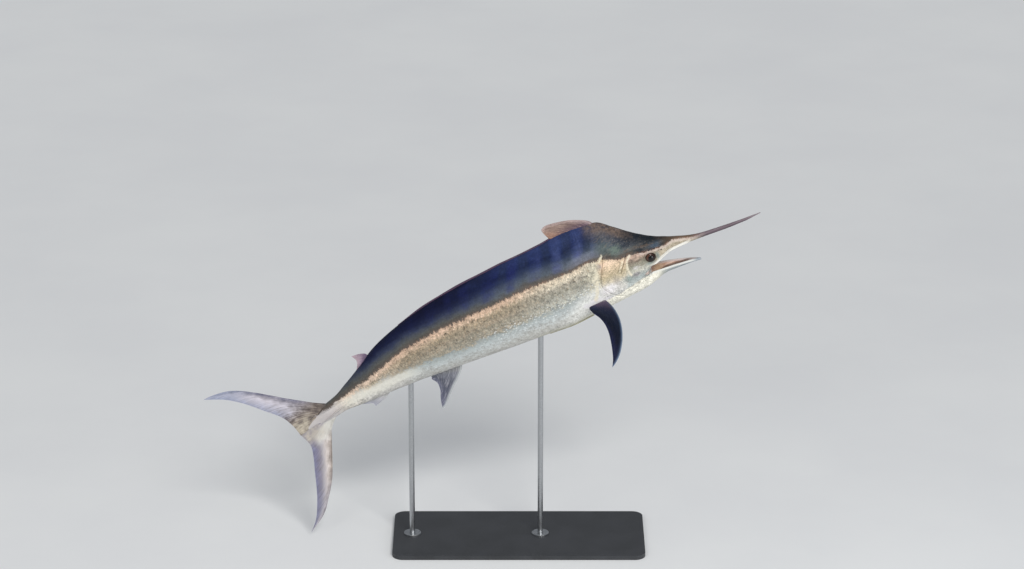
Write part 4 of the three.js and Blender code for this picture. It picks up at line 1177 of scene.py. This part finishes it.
    # the head's side: peach gill cover over a silver foot, streaked cheek, cream snout, throat and jaw
    at_h = h + mid * 0.012 + grit * 0.006
    cover = at_h.ramp((-0.10, "#c6c6c3"), (-0.04, "#d6d3cb"), (-0.01, "#c9bfa9"), (0.02, "#b5a88c"),
                      (0.07, "#d3bda2"), (0.10, "#dcc3ab"), (0.13, "#c9b795"), low=-0.12, high=0.14)
    cheek = at_h.ramp((-0.08, "#bcc2bf"), (-0.045, "#9aa2a1"), (-0.015, "#bdbcb1"), (0.015, "#8f8d7e"),
                      (0.04, "#867b6e"), (0.065, "#b39a8b"), (0.1, "#97897a"), low=-0.1, high=0.12)
    face = (s + mid * 0.008 + h * -0.3).ease(1.845, 1.875).mixed(cover, cheek)
    snout = (mid + grit * 0.5).ease(-0.8, 0.7).mixed("#8d8270", "#b5ab98")
    face = face.under(snout, (s + mid * 0.01).ease(2.005, 2.05))
    face = face.under("#cdbfb6", above.ease(-0.24, -0.08) * s.ease(1.93, 1.97) * 0.7)
    fold_h = s.ease(1.74, 1.97, -0.107, -0.062) + mid * 0.004
    face = face.under("#e9e6d8", (h - fold_h).ease(0.003, -0.006))
    jaw = s.ramp((2.0, "#bfbfb2"), (2.07, "#9ca2a2"), (2.17, "#939ba0"), (2.26, "#949ca4"),
                 low=1.98, high=2.27)
    face = face.under(jaw, s.ease(1.99, 2.06) * h.ease(-0.035, -0.05))
    face = face.under("#87938f", (steel * (mid * 0.5 + 1.0)).ease(0.1, 0.95) * 0.8)
    face = face.under("#767277", (mauve * (mid * 0.5 + 1.0)).ease(0.1, 0.95) * 0.75)
    calm = s.ease(1.95, 2.02, 1.0, 0.45)
    face = face.brighter(calm * (fine * 0.28 + grit * 0.45 + mid * 0.32) + 0.95)
    face = face.under("#e6e5de", maxilla * 0.9)
    face = face.under("#cfbab0", membrane * 0.85)
    side = side.under(face, (s + h * -0.16).ease(1.69, 1.73))
    side = side.under("#e2dfe2", (bright * (grit * 0.9 + 1.0)).ease(0.1, 0.9) * 0.85)

    # back and side meet, with a rusty fringe; then the marks of the head
    colour = edge.ease(-0.07, -0.015).mixed(side, top)
    fringe = edge.between(-0.14, -0.05, -0.02, 0.09) * s.ease(1.1, 1.4, 0.3, 1.0)
    colour = colour.under("#7d5540", fringe * (mid + blotch).ease(-0.4, 0.7) * 0.42)
    worn = grit * 0.9 + 1.0 + mid * 0.6
    colour = colour.under("#ddd5bf", (cream * worn).ease(0.1, 1.0) * 0.8)
    colour = colour.under("#57493f", (brown * worn).ease(0.1, 0.9) * 0.75)

    # the bill: cream at its foot, then mauve, with painted light on its paler upper side and painted shade
    # on its darker underside
    bill = level.ease(0.35, 0.85).mixed("#4a4249", "#857880")
    bill = bill.under("#62555c", lay.noise((14, 300, 300), 4.0).ease(-0.9, 0.9))
    bill = bill.under("#94898f", s.ease(2.50, 2.64) * 0.5)
    bill_on = (s + streaks * 0.012).ease(2.225, 2.34) * h.ease(-0.03, -0.01)
    colour = colour.under(bill, bill_on)

    # the mouth: gum, painted shade on its floor and in its deep corner, a row of dark specks, and shade in
    # folds and slits
    gum = lay.noise((14, 90, 90), 4.0).ease(-0.7, 0.7).mixed("#bf9681", "#e4c8b8")
    gum = gum.under("#d4bf9e", s.ease(2.07, 2.0) * 0.8)
    gum = gum.under("#a99c9e", s.ease(2.10, 2.24) * 0.7)
    # painted shade in the deep corner of the mouth
    gum = gum.under("#b3988b", (s + mid * 0.01).ease(2.012, 1.99) * 0.8)
    gum = gum.under("#cfc5c4", below_rim.ease(-0.12, -0.06) * 0.85)
    # painted shade along the floor of the trough, inside the near rim
    floor_shade = (over_floor + mid * 0.02).ease(0.22, 0.165) * s.ease(2.23, 2.17, 0.4, 1.0)
    gum = gum.under("#4f382e", floor_shade * 0.8)
    pits = (lay.cells((150, 260, 260)) + grit * 0.12).ease(0.32, 0.12)
    pits = pits * (over_floor + mid * 0.05).ease(0.36, 0.24) * s.ease(2.24, 2.18)
    gum = gum.under("#2d1d18", pits * 0.6)
    colour = colour.under(gum, mouth)
    colour = colour.under("#2b2422", dark * 0.82)
    specks = lay.cells((190, 190, 190)).ease(0.16, 0.07) * s.between(1.75, 1.9, 2.1, 2.2)
    colour = colour.under("#4c4a48", specks * h.ease(0.01, -0.05) * 0.35)

    on_body = s.ease(2.24, 2.10) * s.ease(1.9, 1.6, 0.35, 1.0) * (1.0 - mouth)
    return p.finished(
        colour, streaks * 0.05 + 0.40 + flecks * 0.08 + bill_on * 0.12 + mouth * -0.12,
        (lay.cells((62, 210, 210)) * on_body, 0.0011),
        (lay.noise((26, 240, 240), 3.0, 0.6) * on_body, 0.0005),
        (lay.noise((420, 420, 420), 2.0), 0.00015),
    )


class Fin:
    """The paint of a fin's membrane, with what its colour is made from."""

    def __init__(self, name, rays, coat):
        self.paint = Paint(name, Specular_IOR_Level=0.25, Coat_Weight=coat, Coat_Roughness=0.22)
        self.u, self.v, _ = self.paint.kept("lay").split()
        self.lead, self.trail, self.bone = self.paint.kept("rims").split()
        self.place = self.paint.kept("place")
        self.x, self.y, _ = self.place.split()
        across = self.paint.node("CombineXYZ", {0: self.u, 1: self.v, 2: 0.0})
        self.streak = across.noise((rays * 2.2, 3.0, 1), 4.0, 0.6)
        self.thread = across.noise((rays * 9, 5.0, 1), 2.0)
        self.mottle = self.place.noise((26, 26, 26), 4.0)

    def streaked(self, colour, light, light_share, dark, dark_share, start=0.1):
        """The colour with light and dark streaks along the rays."""
        colour = colour.under(light, self.streak.ease(start, start + 0.6) * light_share)
        return colour.under(dark, self.streak.ease(-0.1, -0.7) * dark_share)


def fin_paint(name, colour_of, rays, roughness=0.42, coat=0.05):
    f = Fin(name, rays, coat)
    colour = colour_of(f).brighter(f.streak * 0.14 + 0.98 + f.thread * 0.08 + f.mottle * 0.16)
    joints = f.paint.math("SINE", f.v * 520.0)
    return f.paint.finished(
        colour, f.streak * 0.05 + roughness + f.mottle * 0.03,
        (f.thread + f.streak * 0.5, 0.0006), (joints * f.bone, 0.00004),
        (f.place.noise((420, 420, 420), 2.0), 0.00012),
    )


def tail_upper_colour(f):
    across = f.lead / (f.lead + f.trail) + f.mottle * 0.10 + f.streak * 0.07
    colour = across.ramp((0, "#74748a"), (0.16, "#9a96a2"), (0.4, "#c8c4ce"), (0.65, "#b2b1be"),
                         (1, "#8f94ab"))
    colour = colour.under("#8c96b0", f.y.ease(0.30, 0.47) * 0.75)
    root = (f.streak + f.mottle * 0.7).ease(-0.6, 0.6).mixed("#4b3f3c", "#8d8175")
    colour = colour.under(root, (f.y + f.mottle * 0.03 + f.streak * 0.02).ease(0.19, 0.07))
    colour = colour.under("#d2ccd2", f.streak.ease(0.1, 0.7) * f.y.ease(0.05, 0.2) * 0.35)
    colour = colour.under("#5e5355", f.streak.ease(-0.1, -0.7) * f.y.ease(0.35, 0.2) * 0.4)
    near_fork = f.x.ease(-0.06, -0.15) * f.y.ease(0.10, 0.03)
    colour = colour.under("#b3aa98", near_fork * f.mottle.ease(-0.8, 0.6, 0.3, 0.9))
    # painted shade: dark at the foot of the root, under the keel
    colour = colour.under("#2c2628", f.x.ease(-0.02, 0.02) * f.y.ease(0.03, 0.05) * 0.7)
    return colour.under("#d9d6dc", f.bone * 0.12)


def tail_lower_colour(f):
    across = f.lead / (f.lead + f.trail) + f.mottle * 0.10 + f.streak * 0.05
    colour = across.ramp((0, "#a89d96"), (0.1, "#c0b5ae"), (0.26, "#d6cdc9"), (0.44, "#b5b0b5"),
                         (0.6, "#8d8995"), (0.8, "#7b788f"), (1, "#777a97"))
    colour = colour.under("#7d819a", f.y.ease(-0.25, -0.42) * 0.5)
    colour = f.streaked(colour, "#a5a0a8", 0.3, "#4d464a", 0.3)
    white_on = (f.y + f.mottle * 0.02).ease(-0.14, -0.07) * across.ease(0.8, 0.5)
    colour = colour.under("#dcdbd5", white_on * 0.95)
    near_fork = f.x.ease(-0.03, -0.12) * f.y.ease(-0.12, -0.05)
    colour = colour.under("#b5ada0", near_fork * f.mottle.ease(-0.8, 0.6, 0.4, 0.9))
    return colour.under("#b5b3ba", f.bone * 0.10)


def dorsal_colour(f):
    colour = f.v.ramp((0, "#5d4a60"), (0.2, "#6f5c60"), (0.5, "#957f75"), (1, "#b0978b"))
    colour = colour.under("#a5795f", (f.u + f.streak * 0.2).ease(0.45, 0.95) * 0.6)
    colour = colour.under("#c3b0ae", f.lead.ease(0.24, 0.0) * f.streak.ease(-0.7, 0.3, 0.5, 1.0) * 0.8)
    colour = f.streaked(colour, "#c9b1a2", 0.5, "#5b4438", 0.4)
    return colour.under("#5d4a50", (1.0 - f.bone) * 0.22)


def second_dorsal_colour_and_glare(f):
    # painted glare: the dark fin turns pinkish pale towards its edge
    colour = f.v.ramp((0, "#33304a"), (0.3, "#75647a"), (0.6, "#a08e9c"), (1, "#b3a0a8"))
    return colour.under("#5d5068", (1.0 - f.bone) * 0.2)


def anal_colour(f):
    colour = f.v.ramp((0, "#a9a9a3"), (0.2, "#73767d"), (0.55, "#535763"), (1, "#64677a"))
    colour = f.streaked(colour, "#aeacb2", 0.6, "#4c4856", 0.5, start=0.0)
    colour = colour.under("#c4c8c8", f.lead.ease(0.2, 0.02) * 0.85)
    return colour.under("#5c5f78", (1.0 - f.bone) * 0.25)


def second_anal_colour(f):
    colour = f.v.ramp((0, "#c9c7c1"), (0.5, "#b2b2b6"), (1, "#a2a4b0"))
    return colour.under("#7a7c8c", (1.0 - f.bone) * 0.2)


def pectoral_colour(f):
    # painted sheen: pinkish mauve at the root, before the fin turns near-black navy
    colour = (f.v + f.mottle * 0.05 + f.streak * 0.03).ramp(
        (0, "#6d5c6c"), (0.1, "#54485c"), (0.2, "#2e2c42"), (0.34, "#131b34"), (0.55, "#051026"),
        (0.8, "#040c24"), (1, "#0b1440"))
    colour = colour.under("#4f6480", f.lead.ease(0.16, 0.02) * f.v.ease(0.03, 0.2) * 0.6)
    colour = colour.under("#8695ab", f.lead.ease(0.07, 0.01) * f.v.ease(0.1, 0.25) * 0.7)
    colour = colour.under("#25304a", f.streak.ease(0.1, 0.7) * 0.35)
    colour = colour.under("#8f8b90", (f.v + f.mottle * 0.03).ease(0.09, 0.03) * 0.8)
    return colour.under("#1a2238", f.bone * 0.12)


def strap_paint(name, base, streak_colour):
    p = Paint(name, Specular_IOR_Level=0.45, Coat_Weight=0.2, Coat_Roughness=0.2)
    place = p.kept("place")
    streak = p.kept("lay").noise((26, 9, 1), 4.0, 0.6)
    colour = streak.ease(-0.7, 0.7).mixed(base, streak_colour)
    colour = colour.brighter(place.noise((30, 60, 60), 4.0) * 0.1 + 1.0)
    return p.finished(colour, streak * 0.06 + 0.4, (streak, 0.0006),
                      (place.noise((400, 400, 400), 2.0), 0.00015))


def eye_paint():
    p = Paint("marlin_eye_paint", Specular_IOR_Level=0.08, Coat_Weight=0.75, Coat_Roughness=0.05)
    x, y, r = p.kept("disc").split()
    angle = p.math("ARCTAN2", y, x)
    spokes = p.node("CombineXYZ", {0: p.math("COSINE", angle) * 5.0, 1: p.math("SINE", angle) * 5.0,
                                   2: r * 3.0})
    fibre = spokes.noise((3.2, 3.2, 1.0), 4.0, 0.65)
    iris = fibre.ease(-0.9, 0.9).mixed("#1a0f0b", "#38211a")
    # painted highlight: the iris turns a paler red-brown towards its upper left, partly its own colour
    iris = iris.under("#5e3c2e", (x * -0.7 + y).ease(-0.1, 0.55) * 0.6)
    iris = iris.under("#0d0908", (r + fibre * 0.03).ease(0.62, 0.76))
    from_pupil = p.math("SQRT", p.math("POWER", x + -0.03, 2.0) + p.math("POWER", y + 0.10, 2.0))
    colour = iris.under("#010102", (from_pupil + fibre * 0.02).ease(0.50, 0.40))
    return p.finished(colour, r.ease(0.45, 0.75, 0.2, 0.35), (fibre, 0.00006))


def base_paint():
    p = Paint("stand_base_paint", Specular_IOR_Level=0.4)
    grit, cloud = p.place_on_object().noise((900, 900, 900), 2.0), p.place_on_object().noise((6, 6, 6), 4.0)
    return p.finished(cloud.ease(-0.9, 0.9).mixed("#2f3134", "#393b3f"),
                      cloud * 0.05 + 0.46 + grit * 0.04, (grit, 0.00025), (cloud, 0.0002))


def rod_paint():
    p = Paint("stand_rod_paint", Metallic=1.0)
    brushed = p.place_on_object().noise((90, 90, 1500), 3.0)
    smear = p.place_on_object().noise((12, 12, 5), 4.0)
    return p.finished(brushed.ease(-0.9, 0.9).mixed("#9fa2a5", "#c6c8ca"),
                      smear * 0.06 + 0.3 + brushed * 0.05, (brushed, 0.00008))


def floor_paint():
    p = Paint("studio_floor_paint", Specular_IOR_Level=0.2)
    cloud = p.place_on_object().noise((0.7, 0.7, 1), 4.0)
    return p.finished(cloud.ease(-1, 1).mixed("#e4e6e8", "#e9ebec"), 0.75)


floor = mesh_object("studio_floor", [(-60, -40, 0), (60, -40, 0), (60, 120, 0), (-60, 120, 0)],
                    [[0, 1, 2, 3]], smooth=False)
floor.location.z = -0.0005      # just under the stand

for material, *pieces in (
    (skin_paint(), skin_piece),
    (fin_paint("tail_upper_paint", tail_upper_colour, TAIL_RAYS), tail_upper),
    (fin_paint("tail_lower_paint", tail_lower_colour, TAIL_RAYS), tail_lower),
    (fin_paint("dorsal_paint", dorsal_colour, DORSAL_RAYS), dorsal_lobe),
    (fin_paint("second_dorsal_paint", second_dorsal_colour_and_glare, SECOND_RAYS), second_dorsal),
    (fin_paint("anal_paint", anal_colour, ANAL_RAYS), anal_fin),
    (fin_paint("second_anal_paint", second_anal_colour, SECOND_RAYS), second_anal),
    (fin_paint("pectoral_paint", pectoral_colour, PECTORAL_RAYS, 0.4, 0.04), *pectorals),
    (strap_paint("dorsal_fold_paint", "#251e38", "#5c4056"), dorsal_fold),
    (strap_paint("pelvic_paint", "#a39f84", "#cdcab0"), *pelvics),
    (eye_paint(), *eyes),
    (base_paint(), nodes["stand_base"]),
    (rod_paint(), nodes["stand_rod_front"], nodes["stand_rod_rear"]),
    (floor_paint(), floor),
):
    for piece in pieces:
        piece.data.materials.clear()
        piece.data.materials.append(material)

# ------------ camera and light
AIM = Vector((-0.038, 0, 1.506))
DISTANCE = 20.0
PHOTO_WIDTH, MM_TO_A_PIXEL = 1024, 5.46
SENSOR = 36


def linked(name, data, place=(0, 0, 0)):
    made = bpy.data.objects.new(name, data)
    made.location = place
    scene.collection.objects.link(made)
    return made


def turned_to(made, direction):
    made.rotation_euler = Vector(direction).to_track_quat("-Z", "Y").to_euler()


from_aim = Vector((0, -math.cos(ELEVATION), math.sin(ELEVATION)))
camera = linked("camera", bpy.data.cameras.new("camera"), AIM + from_aim * DISTANCE)
turned_to(camera, -from_aim)
camera.data.sensor_width = SENSOR
camera.data.lens = SENSOR * DISTANCE / (PHOTO_WIDTH * MM_TO_A_PIXEL * MM)
camera.data.clip_end = 400
scene.camera = camera

LAMPS_AIM = Vector((0, 0, 1.4))
for name, place, size, power, colour in (
    ("key", (-2.5, -5.5, 4.0), (3.0, 2.5), 80, (1.0, 0.97, 0.93)),
    ("fill", (4.5, -4.0, 2.2), (2.5, 2.5), 60, (0.95, 0.97, 1.0)),
):
    light = bpy.data.lights.new(name, "AREA")
    light.shape, (light.size, light.size_y) = "ELLIPSE", size
    light.energy, light.color = power, colour
    turned_to(linked(name, light, place), LAMPS_AIM - Vector(place))
bpy.data.objects["key"].visible_glossy = False
sun = bpy.data.lights.new("sun", "SUN")
sun.energy, sun.angle, sun.color = 2.1, math.radians(24), (1.0, 0.975, 0.94)
turned_to(linked("sun", sun), (-0.26, 0.72, -0.62))
world = bpy.data.worlds.new("studio")
world.use_nodes = True
world.node_tree.nodes["Background"].inputs["Color"].default_value = (0.80, 0.84, 0.90, 1)
world.node_tree.nodes["Background"].inputs["Strength"].default_value = 0.36
scene.world = world
scene.view_settings.view_transform = "Standard"
